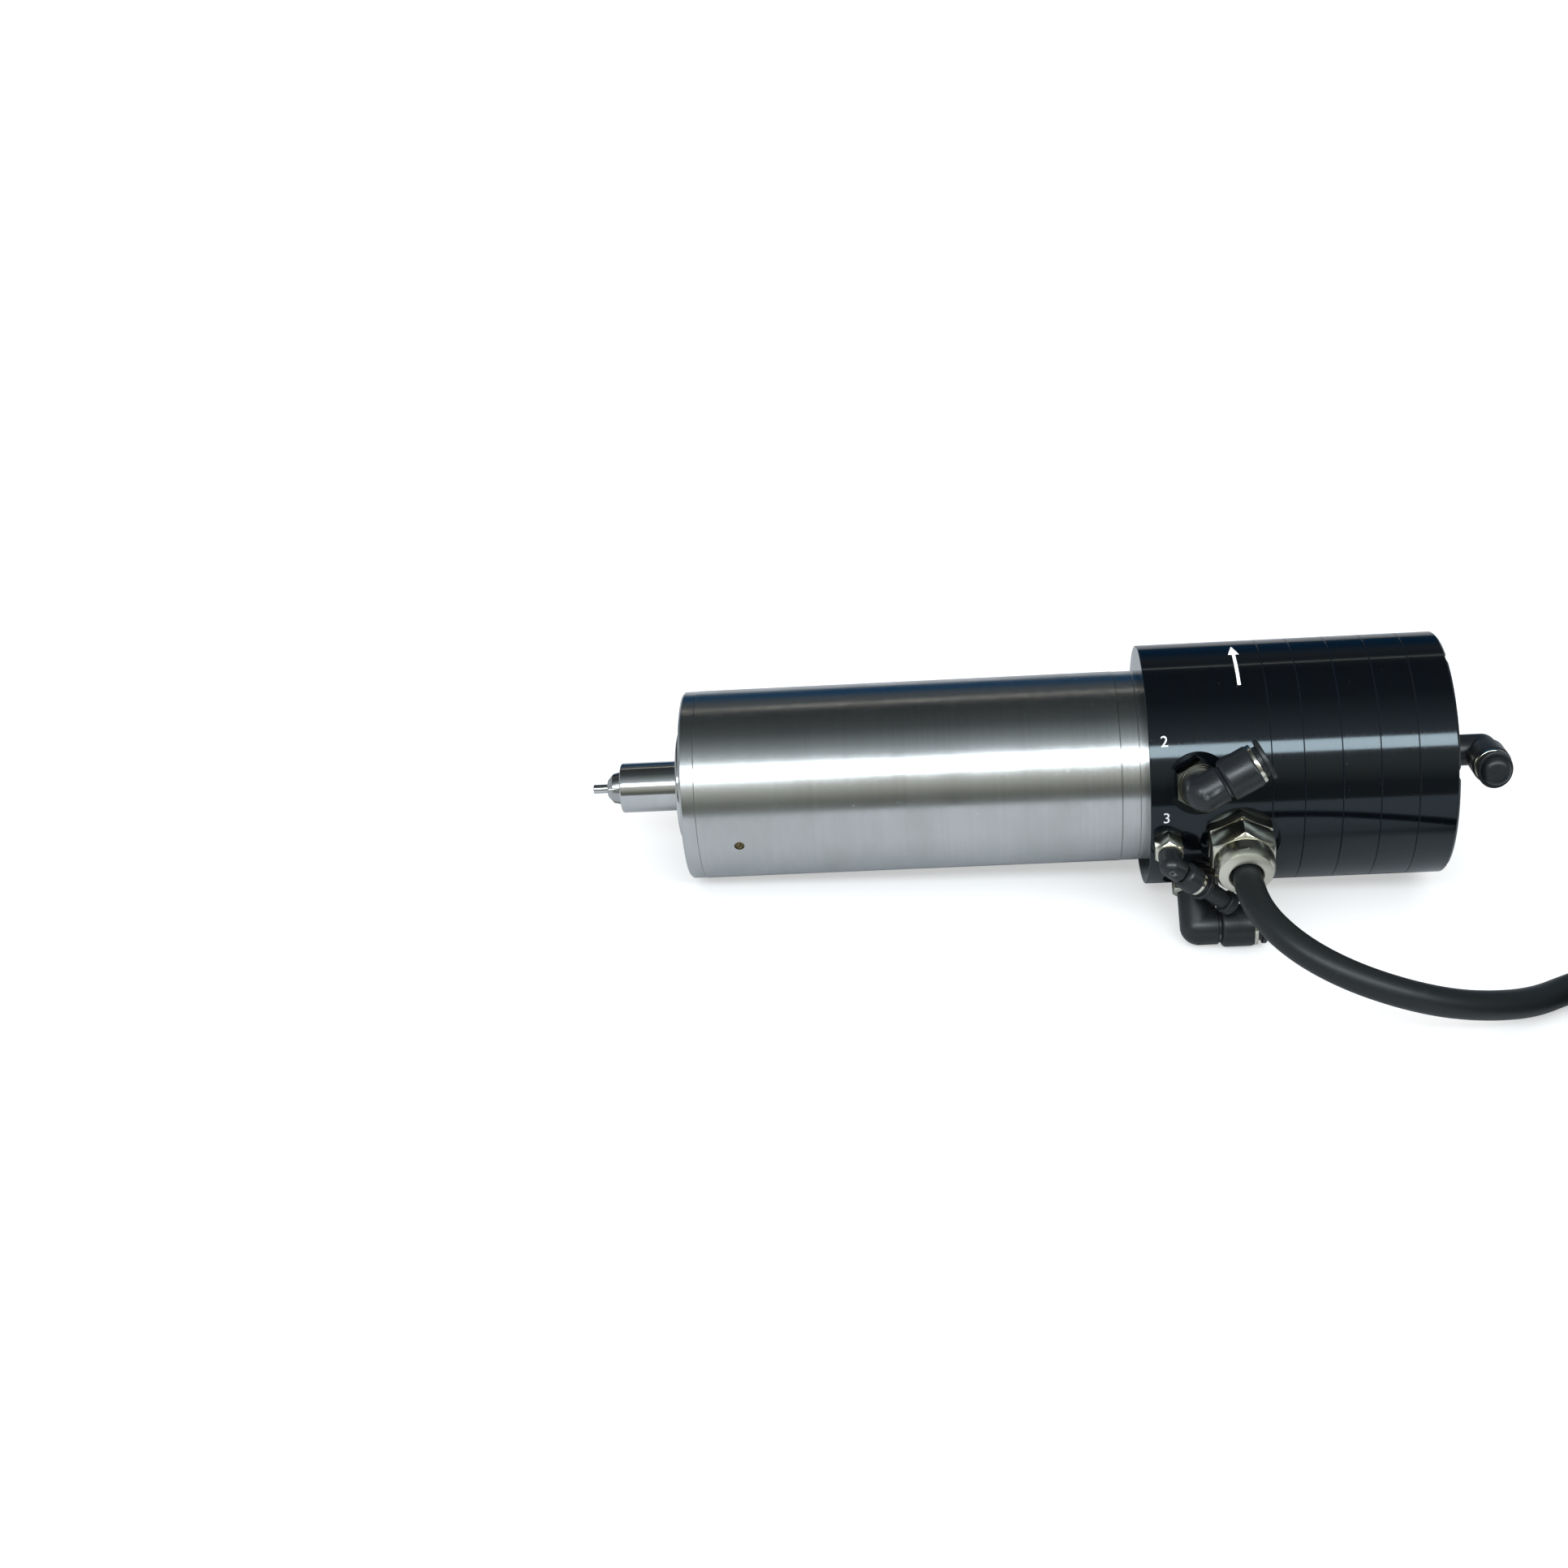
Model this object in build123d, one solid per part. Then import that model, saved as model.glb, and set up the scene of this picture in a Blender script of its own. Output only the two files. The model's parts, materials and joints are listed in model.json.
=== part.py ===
from build123d import *
import os
from dataclasses import dataclass
from math import atan, cos, degrees, radians, sin, sqrt, tan

# High-speed motor spindle with a pneumatic tool release, lying on a flat surface.
# All millimetres. The spindle is built about the X axis, nose towards -X, with X = 0 at the
# shoulder between the round clamping body and the thicker release cylinder, and is then
# laid down on its nose rim, its shoulder edge and one coolant elbow.

# ---------------------------------------------------------------- driving dimensions
CLAMP_R = 31.0            # ground clamping diameter 62
CYLINDER_R = 39.0         # release cylinder diameter 78
CLAMP_LENGTH = 148.8      # shoulder to the face of the front cover
SLEEVE_WALL = 4.0
COVER_THICK = 5.0
COVER_WEB = 1.5           # cover left behind the seal ring
COLLAR_LENGTH = 8.0       # plain ring between sleeve and shoulder
EDGE_CHAMFER = 0.8
RIM_RELIEF = 0.1          # cover and collar stand this far below the clamping diameter
COLLAR_GROOVE = (2.0, 0.25)   # turned line in the collar: distance from the shoulder, depth
MANIFOLD_LENGTH = 37.7
BASE_LENGTH = 10.0
STAGES = 3
CAP_LENGTH = 12.4
STACK_CHAMFER = 0.35      # broken edges that show as joint lines

SHAFT_NOSE_R = 8.25
SHAFT_REACH = 22.2        # shaft tip ahead of the cover face
JOURNAL_R = 7.5
SHAFT_TAIL_X = 2.0
SEAL_R = 18.0
SEAL_PROUD = 2.5
SEAL_GAP = 0.3
SEAL_EDGE = 1.0
COLLET_REACH = 4.7        # collet face ahead of the shaft tip
COLLET_R = 5.9
COLLET_TAIL_R = 4.0
COLLET_LENGTH = 30.0
COLLET_TAPER = 12.0
PIN_R = 1.5
PIN_REACH = 4.9
PIN_LENGTH = 34.0
DRAWBAR_R = 2.5
HEAD_R = 5.2
HEAD_X = -6.0
CHAMBER_X = -56.0         # front end of the spring chamber in the shaft
SPRING_PAIRS = 8

BEARING_R = 16.0
BEARING_WIDTH = 9.0
BALL_R = 2.0
BALLS = 7
PITCH_R = 11.7
BEARING_LIPS = (2.0, 3.0)     # front and rear housing lips over the outer rings
RING_WALL = 1.3           # bearing pitch circle to the rings' facing edges
FRONT_BEARING_SETBACK = 2.8   # behind the cover joint
REAR_BEARING_X = -30.0
HOUSING_WEB = 3.0         # web of the front housing behind its bearings
ROTOR_R = 12.2
AIR_GAP = 0.4
STATOR_GAPS = (42.5, 11.5)    # stator to the front and rear bearing faces
SLOTS = 12
SLOT_WIDTH = 2.6
TOOTH_TIP = 1.2
YOKE = 3.0
WINDING_REACH = 8.0
WINDING_GAP = 2.0
WINDING_ROUND = 1.5
JACKET_WALL = 4.9
JACKET_GAP = 2.0
JACKET_CHANNELS = 6
CHANNEL_DEPTH = 2.6
CHANNEL_RIB = 6.3         # rib left between neighbouring channels

PISTON_TRAVEL = 3.0
RELEASE_GAP = 0.6         # free travel before the piston meets the drawbar
PISTON_THICK = 4.5
PISTON_REST_GAP = 0.4
PISTON_END_GAP = 0.6      # room left beyond the piston's travel
BORE_WALL = 8.4
DIVIDER_THICK = 3.2
ROD_R = 5.0
ROD_NOSE_X = 12.0
PISTON_GROOVE = 1.8
PISTON_SEAL = 1.4         # width of the seal in each piston
SPRING_SHOULDER_X = 4.0
SPRING_TURNS = 4
SPRING_WIRE = 1.6
SPRING_POCKET_R = 10.5
SPRING_POCKET = 5.0       # depth of the pocket in the cylinder base
SEAL_SECTION = 0.65       # half the width of the joint seals
SEAL_LAND = 1.6           # cylinder bore to the middle of the joint seal
DUCT_R = 1.6              # axial water ducts from the jacket to the coolant ports
DUCT_INSET = 3.45         # duct axis inside the spigot's outside
AIR_DUCT_R = 2.0
STUD_RUNOUT = 1.0         # port hole beyond the end of the stud
ROD_FLANGE_X = (22.0, 25.0)

COVER_SCREWS = 6
COVER_SCREW_M = 3.0
COVER_SCREW_GRIP = 5.0    # engagement behind the cover
TIE_BOLTS = 6
TIE_BOLT_EDGE = 3.0       # bolt axis to the outside of the cylinder
TIE_BOLT_M = 3.0
TIE_THREAD = 7.7          # engagement in the manifold block

SLIDE_FIT = 0.08          # radial clearance of running and sliding fits
SEAT_FIT = 0.05           # radial clearance of fixed seats
TURN_GAP = 0.3            # gap under parts that turn by hand

PORT_LINE = -6.1          # elevation of the gland, air port and set screw, in degrees
PORT_SPREAD = 31.0        # coolant ports sit this far above and below that line
COOLANT_X = 15.0
GLAND_X = 28.0
AIR_X = 5.4
SET_SCREW_SETBACK = 18.2  # behind the cover face
SET_SCREW_R = 2.0
SET_SCREW_SLOT = (0.6, 0.9)   # width and depth of its slot
SET_SCREW_SUNK = 0.3
PLUG_SUNK = 0.6
PLUG_DIMPLE_R = 1.3
PLUG_X = -62.0
PLUG_ELEVATION = 175.0

GLAND_FLATS = 19.4
GLAND_SPOT_R = 12.6
GLAND_FLANGE = 3.4
GLAND_NUT = 7.6
GLAND_DOME = 7.0
GLAND_DOME_R = 9.2
GLAND_THREAD_R = 7.9
GLAND_HOLE_R = 5.0
GLAND_THREAD = 10.0
GLAND_NECK_R = 7.0
GLAND_NECK = 5.0
GLAND_PASSAGE_R = 8.0     # the gland's hole ends this far from the axis

CABLE_R = 4.6
CABLE_STRAIGHT = (2.0, 15.0)  # straight run out of the gland, above its nut
# Free cable from the gland to the coil, in the floor frame: X along the spindle, Z up.
CABLE_ROUTE = [
    (32.8, -75.2, 32.4), (41.5, -86.1, 30.4), (53.8, -93.9, 27.8), (68.9, -97.5, 24.0),
    (84.5, -95.9, 18.6), (99.6, -90.5, 13.2), (113.9, -82.8, 8.2), (126.8, -72.6, 4.8),
    (149.0, -61.5, 4.6),
]
COIL_CENTRE = (180.0, -106.9)
COIL_INNER_R = 39.6       # radius of the innermost turn
COIL_ENTRY_R = 53.4       # radius of the outermost turn
COIL_LAYERS = 3
COIL_ENTRY_ANGLE = 100.0
TIE_ANGLE = 215.0
TIE_GAP = 0.7             # strap round the coil
TIE_THICK = 1.2
TIE_WIDTH = 12.0
TAIL_ANGLES = (80.0, 63.0, 46.0, 29.0, 12.0, -3.0, -15.0)
TAIL_RADII = (44.2, 48.6, 55.4, 63.0, 69.8, 74.2, 76.0)
TAIL_HEIGHTS = (20.5, 22.4, 21.4, 16.2, 11.4, 9.2, 9.0)

CONNECTOR_NECK_R = 6.2
CONNECTOR_BACK = 9.0      # tapered back end behind the cable's end
CONNECTOR_BARREL_R = 7.4
CONNECTOR_GRIP_R = 8.2
CONNECTOR_GRIP = 22.0
CONNECTOR_THREAD_R = 7.2
CONNECTOR_LENGTH = 30.0
CONNECTOR_WALL = 2.0      # between the cable and the bore for the insert
COUPLING_R = 9.0
COUPLING_REACH = 5.0      # coupling ring beyond the shell
KNURLS = 12
CONTACTS = 4
CONTACT_PITCH_R = 3.4
CONTACT_R = 0.9
CONTACT_DEPTH = 7.5


@dataclass
class Fitting:
    """Elbow push-in fitting: seat at Z = 0, threaded stud along -Z, tube port along +X."""
    flats: float          # hexagon across flats
    hex_height: float
    stud_r: float
    stud_length: float
    arm_height: float     # port axis above the seat
    elbow_r: float
    port_r: float
    seam: float           # groove between elbow and port
    body_end: float
    tube_r: float
    spot_r: float         # radius of the milled seat

    @property
    def stem_r(self):
        return self.elbow_r * 0.62

    @property
    def stem_end(self):
        return self.arm_height - self.elbow_r * 0.35

    @property
    def flow_r(self):
        return self.tube_r - TUBE_STOP

    @property
    def tube_seat(self):
        """Depth where a pushed-in tube stops."""
        return self.seam - 1.5

    @property
    def skirt(self):
        return self.hex_height + TURN_GAP

    @property
    def collar_r(self):
        return self.tube_r + 1.05

    @property
    def ring_end(self):
        return self.body_end + 1.2

    @property
    def collar_start(self):
        return self.ring_end - COLLAR_NECK

    @property
    def collar_pocket(self):
        """Floor of the pocket that the release collar slides in."""
        return self.collar_start - COLLAR_TRAVEL - 0.4

    @property
    def flange_at(self):
        return self.ring_end + COLLAR_TRAVEL + 0.4


TUBE_STOP = 1.0           # step inside the elbow that a tube's end meets
STEM_WALL = 1.2
COLLAR_TRAVEL = 1.0
COLLAR_FLANGE = 1.5
COLLAR_NECK = 5.0
COOLANT = Fitting(flats=14.0, hex_height=6.5, stud_r=4.85, stud_length=7.0, arm_height=17.8,
                  elbow_r=5.9, port_r=6.8, seam=6.6, body_end=17.2, tube_r=4.0, spot_r=10.0)
AIR = Fitting(flats=8.6, hex_height=5.4, stud_r=2.45, stud_length=5.0, arm_height=10.4,
              elbow_r=3.6, port_r=4.4, seam=4.8, body_end=11.0, tube_r=2.0, spot_r=5.6)
CLAMP_AIR = Fitting(flats=12.0, hex_height=4.8, stud_r=4.85, stud_length=7.0, arm_height=14.8,
                    elbow_r=5.1, port_r=6.2, seam=5.8, body_end=16.2, tube_r=3.0, spot_r=0.0)
COOLANT_OUT_SWIVEL = 28.0
COOLANT_IN_SWIVEL = 0.0
AIR_SWIVEL = -43.0
CLAMP_AIR_ELEVATION = 15.0

# ---------------------------------------------------------------- derived places
COVER_FACE_X = -CLAMP_LENGTH
SLEEVE_FRONT_X = COVER_FACE_X + COVER_THICK
SLEEVE_REAR_X = -COLLAR_LENGTH
INNER_R = CLAMP_R - SLEEVE_WALL
HOUSING_R = INNER_R - SEAT_FIT
RIM_R = CLAMP_R - RIM_RELIEF
FRONT_BEARING_X = SLEEVE_FRONT_X + FRONT_BEARING_SETBACK
FRONT_HOUSING_END = FRONT_BEARING_X + 2 * BEARING_WIDTH + HOUSING_WEB
STATOR_X = (FRONT_BEARING_X + STATOR_GAPS[0], REAR_BEARING_X - STATOR_GAPS[1])
STATOR_R = HOUSING_R - JACKET_WALL - SEAT_FIT
JACKET_X = (FRONT_HOUSING_END + JACKET_GAP, REAR_BEARING_X - JACKET_GAP)
SET_SCREW_X = COVER_FACE_X + SET_SCREW_SETBACK
COVER_SCREW_R = SEAL_R + COVER_SCREW_M
TIE_BOLT_R = CYLINDER_R - TIE_BOLT_EDGE
SHAFT_TIP_X = COVER_FACE_X - SHAFT_REACH
SEAL_FACE_X = COVER_FACE_X - SEAL_PROUD
COLLET_FACE_X = SHAFT_TIP_X - COLLET_REACH
PIN_FACE_X = COLLET_FACE_X - PIN_REACH
CHAMBER_R = HEAD_R + SLIDE_FIT
BASE_X = MANIFOLD_LENGTH
STAGE_LENGTH = DIVIDER_THICK + PISTON_THICK + PISTON_TRAVEL + PISTON_REST_GAP + PISTON_END_GAP
STAGE_X = [BASE_X + BASE_LENGTH + STAGE_LENGTH * k for k in range(STAGES)]
CAP_X = STAGE_X[-1] + STAGE_LENGTH
REAR_X = CAP_X + CAP_LENGTH
BORE_R = CYLINDER_R - BORE_WALL
OUT_ELEVATION = PORT_LINE + PORT_SPREAD
IN_ELEVATION = PORT_LINE - PORT_SPREAD
SEAL_LINE_R = BORE_R + SEAL_LAND
PISTON_GROOVE_R = BORE_R - SLIDE_FIT - PISTON_GROOVE
COIL_R = (COIL_INNER_R - CABLE_R, COIL_ENTRY_R + CABLE_R)
COIL_HEIGHT = CABLE_R * (2 + sqrt(3) * (COIL_LAYERS - 1)) + 0.2
CONNECTOR_BORE_R = CABLE_R + CONNECTOR_WALL
FLUSH = (Align.CENTER, Align.CENTER, Align.MIN)
LIE_ANGLE = atan((CYLINDER_R - RIM_R) / (CLAMP_LENGTH - EDGE_CHAMFER + STACK_CHAMFER))


def seat_depth(spot_r):
    """Distance from the axis to a flat spotface that just clears the round outside."""
    return sqrt(CYLINDER_R**2 - spot_r**2) - 0.15


def turned(*outline):
    """Solid of revolution about X from (x, radius) points."""
    return revolve(make_face(Polyline(*outline, close=True)), Axis.X)


def tube(x0, x1, r_in, r_out):
    return turned((x0, r_in), (x1, r_in), (x1, r_out), (x0, r_out))


def rod(x0, x1, r):
    return turned((x0, 0), (x0, r), (x1, r), (x1, 0))


def broken_tube(x0, x1, r_in, r_out, front=STACK_CHAMFER, rear=STACK_CHAMFER):
    """Tube whose outer edges are broken by small chamfers."""
    return turned((x0, r_in), (x1, r_in), (x1, r_out - rear), (x1 - rear, r_out),
                  (x0 + front, r_out), (x0, r_out - front))


def upright(r, z0, z1):
    return Pos(0, 0, z0) * Cylinder(r, z1 - z0, align=FLUSH)


def hexagon(flats, z0, z1, chamfer=0.6):
    """Hexagon bar along Z with both rims turned to a chamfer, corners towards +Y and -Y."""
    corner = flats / sqrt(3)
    bar = Pos(0, 0, z0) * extrude(Rot(Z=30) * RegularPolygon(corner, 6), z1 - z0)
    rim = flats / 2
    blank = revolve(make_face(Polyline(
        (0, 0, z0), (rim, 0, z0), (corner, 0, z0 + chamfer), (corner, 0, z1 - chamfer),
        (rim, 0, z1), (0, 0, z1), close=True)), Axis.Z)
    return bar & blank


def radial(x, elevation, height=0.0):
    """Frame on the outside of the body: local Z points outwards, local X along the spindle."""
    return Pos(x, 0, 0) * Rot(X=90 - elevation) * Pos(0, 0, height)


def around(count, radius, start=0.0):
    """Frames for a ring of axial screws, local Z pointing towards -X (out of the nose)."""
    return [Rot(X=start + 360 / count * k) * Pos(0, 0, radius) * Rot(Y=-90) for k in range(count)]


def group(items):
    return Compound(list(items))


# ---------------------------------------------------------------- screws
def socket_screw(size, length):
    """Socket-head screw: head underside at Z = 0, head towards +Z."""
    head_r, head_h, flats = size * 0.9, size, size * 0.83
    head = Cylinder(head_r, head_h, align=FLUSH) - Pos(0, 0, head_h * 0.45) * extrude(
        RegularPolygon(flats / sqrt(3), 6), head_h)
    return head + upright(size / 2 - SEAT_FIT, -length, 0)


def screw_hole(size, length, recess):
    """Cutter for a counterbored screw: counterbore floor at Z = 0."""
    return upright(size * 0.97, 0, recess) + upright(size / 2, -length, 0.1)


COVER_SCREW_LENGTH = COVER_THICK + COVER_SCREW_GRIP
COVER_RECESS = COVER_SCREW_M + 0.2


def cover_screw_frames():
    return [f * Pos(0, 0, -COVER_FACE_X - COVER_RECESS) for f in around(COVER_SCREWS, COVER_SCREW_R)]


TIE_RECESS = TIE_BOLT_M + 0.5
TIE_LENGTH = REAR_X - TIE_RECESS - (MANIFOLD_LENGTH - TIE_THREAD)


def tie_frames():
    turn = PORT_LINE + 180 / TIE_BOLTS
    return [Rot(X=90 - turn + 360 / TIE_BOLTS * k) * Pos(REAR_X - TIE_RECESS, 0, TIE_BOLT_R) * Rot(Y=90)
            for k in range(TIE_BOLTS)]


def cut_ties(part):
    for frame in tie_frames():
        part -= frame * screw_hole(TIE_BOLT_M, TIE_LENGTH, TIE_RECESS + 1)
    return part


# ---------------------------------------------------------------- clamping body
def main_sleeve():
    sleeve = tube(SLEEVE_FRONT_X, SLEEVE_REAR_X, INNER_R, CLAMP_R)
    for x, elevation in ((SET_SCREW_X, PORT_LINE), (PLUG_X, PLUG_ELEVATION)):
        sleeve -= radial(x, elevation) * upright(SET_SCREW_R, INNER_R - 2, CLAMP_R + 1)
    return sleeve


def set_screw():
    width, depth = SET_SCREW_SLOT
    face = CLAMP_R - SET_SCREW_SUNK
    screw = upright(SET_SCREW_R - SEAT_FIT, INNER_R, face)
    slot = Pos(0, 0, face) * Box(2 * SET_SCREW_R + 1, width, 2 * depth)
    return radial(SET_SCREW_X, PORT_LINE) * (screw - slot)


def red_plug():
    face = CLAMP_R - PLUG_SUNK
    plug = upright(SET_SCREW_R - SEAT_FIT, INNER_R, face)
    dimple = Pos(0, 0, face + 0.8) * Sphere(PLUG_DIMPLE_R)
    return radial(PLUG_X, PLUG_ELEVATION) * (plug - dimple)


def front_cover():
    seat = SEAL_R + SEAT_FIT
    lip = BEARING_R - BEARING_LIPS[0]
    cover = turned((SLEEVE_FRONT_X, lip), (SLEEVE_FRONT_X, RIM_R),
                   (COVER_FACE_X + EDGE_CHAMFER, RIM_R), (COVER_FACE_X, RIM_R - EDGE_CHAMFER),
                   (COVER_FACE_X, seat), (SLEEVE_FRONT_X - COVER_WEB, seat),
                   (SLEEVE_FRONT_X - COVER_WEB, lip))
    for frame in cover_screw_frames():
        cover -= frame * screw_hole(COVER_SCREW_M, COVER_SCREW_LENGTH, COVER_RECESS + 1)
    return cover


def front_seal_ring():
    bore = SHAFT_NOSE_R + SEAL_GAP
    back = SLEEVE_FRONT_X - COVER_WEB - SEAT_FIT
    return turned((SEAL_FACE_X, bore), (back, bore), (back, SEAL_R),
                  (SEAL_FACE_X + SEAL_EDGE, SEAL_R), (SEAL_FACE_X, SEAL_R - SEAL_EDGE))


def rear_collar_ring():
    x0, line, depth = SLEEVE_REAR_X, -COLLAR_GROOVE[0], COLLAR_GROOVE[1]
    return turned((x0, INNER_R), (0, INNER_R), (0, RIM_R), (line, RIM_R),
                  (line - depth, RIM_R - depth), (line - 2 * depth, RIM_R),
                  (x0 + depth, RIM_R), (x0, RIM_R - depth))


def front_bearing_housing():
    lip = BEARING_R - BEARING_LIPS[0]
    seat = BEARING_R + SEAT_FIT
    end = FRONT_BEARING_X + 2 * BEARING_WIDTH
    body = turned((SLEEVE_FRONT_X, seat), (end, seat), (end, lip), (FRONT_HOUSING_END, lip),
                  (FRONT_HOUSING_END, HOUSING_R), (SLEEVE_FRONT_X, HOUSING_R))
    for frame in cover_screw_frames():
        body -= frame * screw_hole(COVER_SCREW_M, COVER_SCREW_LENGTH, 0.1)
    return body


def rear_bearing_housing():
    seat, lip = BEARING_R + SEAT_FIT, BEARING_R - BEARING_LIPS[1]
    end = REAR_BEARING_X + BEARING_WIDTH
    return turned((JACKET_X[1], seat), (end, seat), (end, lip), (SLEEVE_REAR_X, lip),
                  (SLEEVE_REAR_X, HOUSING_R), (JACKET_X[1], HOUSING_R))


def water_jacket():
    x0, x1 = JACKET_X
    jacket = tube(x0, x1, STATOR_R + SEAT_FIT, HOUSING_R)
    pitch = (x1 - x0) / JACKET_CHANNELS
    for k in range(JACKET_CHANNELS):
        middle = x0 + pitch * (k + 0.5)
        half = (pitch - CHANNEL_RIB) / 2
        jacket -= tube(middle - half, middle + half, HOUSING_R - CHANNEL_DEPTH, HOUSING_R + 1)
    return jacket


def stator_core():
    inner = ROTOR_R + AIR_GAP
    core = tube(*STATOR_X, inner, STATOR_R)
    length = STATOR_X[1] - STATOR_X[0] + 2
    slot = Pos(STATOR_X[0] - 1, 0, inner + TOOTH_TIP) * Box(
        length, SLOT_WIDTH, STATOR_R - YOKE - inner - TOOTH_TIP,
        align=(Align.MIN, Align.CENTER, Align.MIN))
    for k in range(SLOTS):
        core -= Rot(X=360 / SLOTS * k) * slot
    return core


def stator_windings():
    inner, outer = ROTOR_R + WINDING_GAP, STATOR_R - WINDING_GAP
    rings = []
    for x, way in ((STATOR_X[0], -1), (STATOR_X[1], 1)):
        end, bend = x + way * WINDING_REACH, x + way * (WINDING_REACH - WINDING_ROUND)
        rings.append(turned((x, inner), (bend, inner), (end, inner + WINDING_ROUND),
                            (end, outer - WINDING_ROUND), (bend, outer), (x, outer)))
    return group(rings)


# ---------------------------------------------------------------- rotor and bearings
def bearing_places():
    return [FRONT_BEARING_X, FRONT_BEARING_X + BEARING_WIDTH, REAR_BEARING_X]


def race_groove(x):
    groove_r = BALL_R + SLIDE_FIT
    return Pos(x + BEARING_WIDTH / 2, 0, 0) * Rot(Y=90) * Torus(PITCH_R, groove_r)


def bearing_rings(r_in, r_out):
    return group([tube(x + 0.1, x + BEARING_WIDTH - 0.1, r_in, r_out) - race_groove(x)
                  for x in bearing_places()])


def bearing_outer_rings():
    return bearing_rings(PITCH_R + RING_WALL, BEARING_R)


def bearing_inner_rings():
    return bearing_rings(JOURNAL_R, PITCH_R - RING_WALL)


def ball_row(x):
    """Cage ring with its balls."""
    middle = x + BEARING_WIDTH / 2
    row = tube(middle - 1.5, middle + 1.5, PITCH_R - 0.6, PITCH_R + 0.6)
    for k in range(BALLS):
        row += Rot(X=360 / BALLS * k) * Pos(middle, 0, PITCH_R) * Sphere(BALL_R)
    return row


def rotor_shaft():
    tip, step = SHAFT_TIP_X, FRONT_BEARING_X
    taper_end = tip + COLLET_TAPER
    mouth = COLLET_R + SLIDE_FIT
    throat = COLLET_TAIL_R + SLIDE_FIT
    rod_bore = DRAWBAR_R + SLIDE_FIT
    collet_end = COLLET_FACE_X + COLLET_LENGTH + 1.5
    return turned(
        (tip, mouth), (tip, SHAFT_NOSE_R - 0.7), (tip + 0.7, SHAFT_NOSE_R), (step, SHAFT_NOSE_R),
        (step, JOURNAL_R), (SHAFT_TAIL_X, JOURNAL_R), (SHAFT_TAIL_X, CHAMBER_R),
        (CHAMBER_X, CHAMBER_R), (CHAMBER_X, rod_bore), (collet_end, rod_bore),
        (collet_end, throat), (taper_end, throat))


def rotor_core():
    x0, x1 = STATOR_X
    return tube(x0, x1, JOURNAL_R, ROTOR_R)


def collet():
    """Slotted spring collet: cone towards the nose, waisted shank, bored for the tool."""
    face, taper_end = COLLET_FACE_X, SHAFT_TIP_X + COLLET_TAPER
    end = face + COLLET_LENGTH
    body = turned(
        (face, PIN_R + SLIDE_FIT), (face, 3.2), (face + 1.5, 4.9), (face + 3.0, COLLET_R),
        (SHAFT_TIP_X, COLLET_R), (taper_end, COLLET_TAIL_R), (end, COLLET_TAIL_R),
        (end, PIN_R + SLIDE_FIT))
    slot_end = taper_end + 4
    for k in range(3):
        slot = Rot(X=60 * k) * Box(slot_end - face + 2, 0.7, 4 * COLLET_R,
                                   align=(Align.MIN, Align.CENTER, Align.CENTER))
        body -= Pos(face - 1, 0, 0) * slot
    return body


def drawbar():
    start = COLLET_FACE_X + COLLET_LENGTH
    head_end = ROD_NOSE_X - RELEASE_GAP
    return turned((start, 0), (start, DRAWBAR_R), (HEAD_X, DRAWBAR_R), (HEAD_X, HEAD_R),
                  (head_end - 1, HEAD_R), (head_end, HEAD_R - 1), (head_end, 0))


def disc_springs():
    """Conical spring washers stacked in alternating pairs between chamber floor and head."""
    inner, outer = DRAWBAR_R + 0.2, CHAMBER_R - 0.2
    pitch = (HEAD_X - CHAMBER_X) / SPRING_PAIRS
    thick = pitch * 0.28
    cone = pitch / 2 - thick
    stack = []
    for k in range(SPRING_PAIRS):
        x = CHAMBER_X + pitch * k
        stack.append(turned((x, outer), (x + cone, inner), (x + cone + thick, inner),
                            (x + thick, outer)))
        far = x + pitch
        stack.append(turned((far, outer), (far - cone, inner), (far - cone - thick, inner),
                            (far - thick, outer)))
    return group(stack)


def tool_pin():
    start, end, round_off = PIN_FACE_X, PIN_FACE_X + PIN_LENGTH, 0.5
    return turned((start, 0), (start, PIN_R - round_off), (start + round_off, PIN_R),
                  (end - 0.3, PIN_R), (end, PIN_R - 0.3), (end, 0))


# ---------------------------------------------------------------- release cylinder
def spotface(x, elevation, spot_r):
    depth = seat_depth(spot_r)
    return radial(x, elevation) * upright(spot_r, depth, CYLINDER_R + 5)


def stud_hole(x, elevation, f):
    """Hole for a fitting's stud, with room beyond its end."""
    seat = seat_depth(f.spot_r)
    return radial(x, elevation) * upright(
        f.stud_r + SEAT_FIT, seat - f.stud_length - STUD_RUNOUT, seat + 1)


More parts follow.
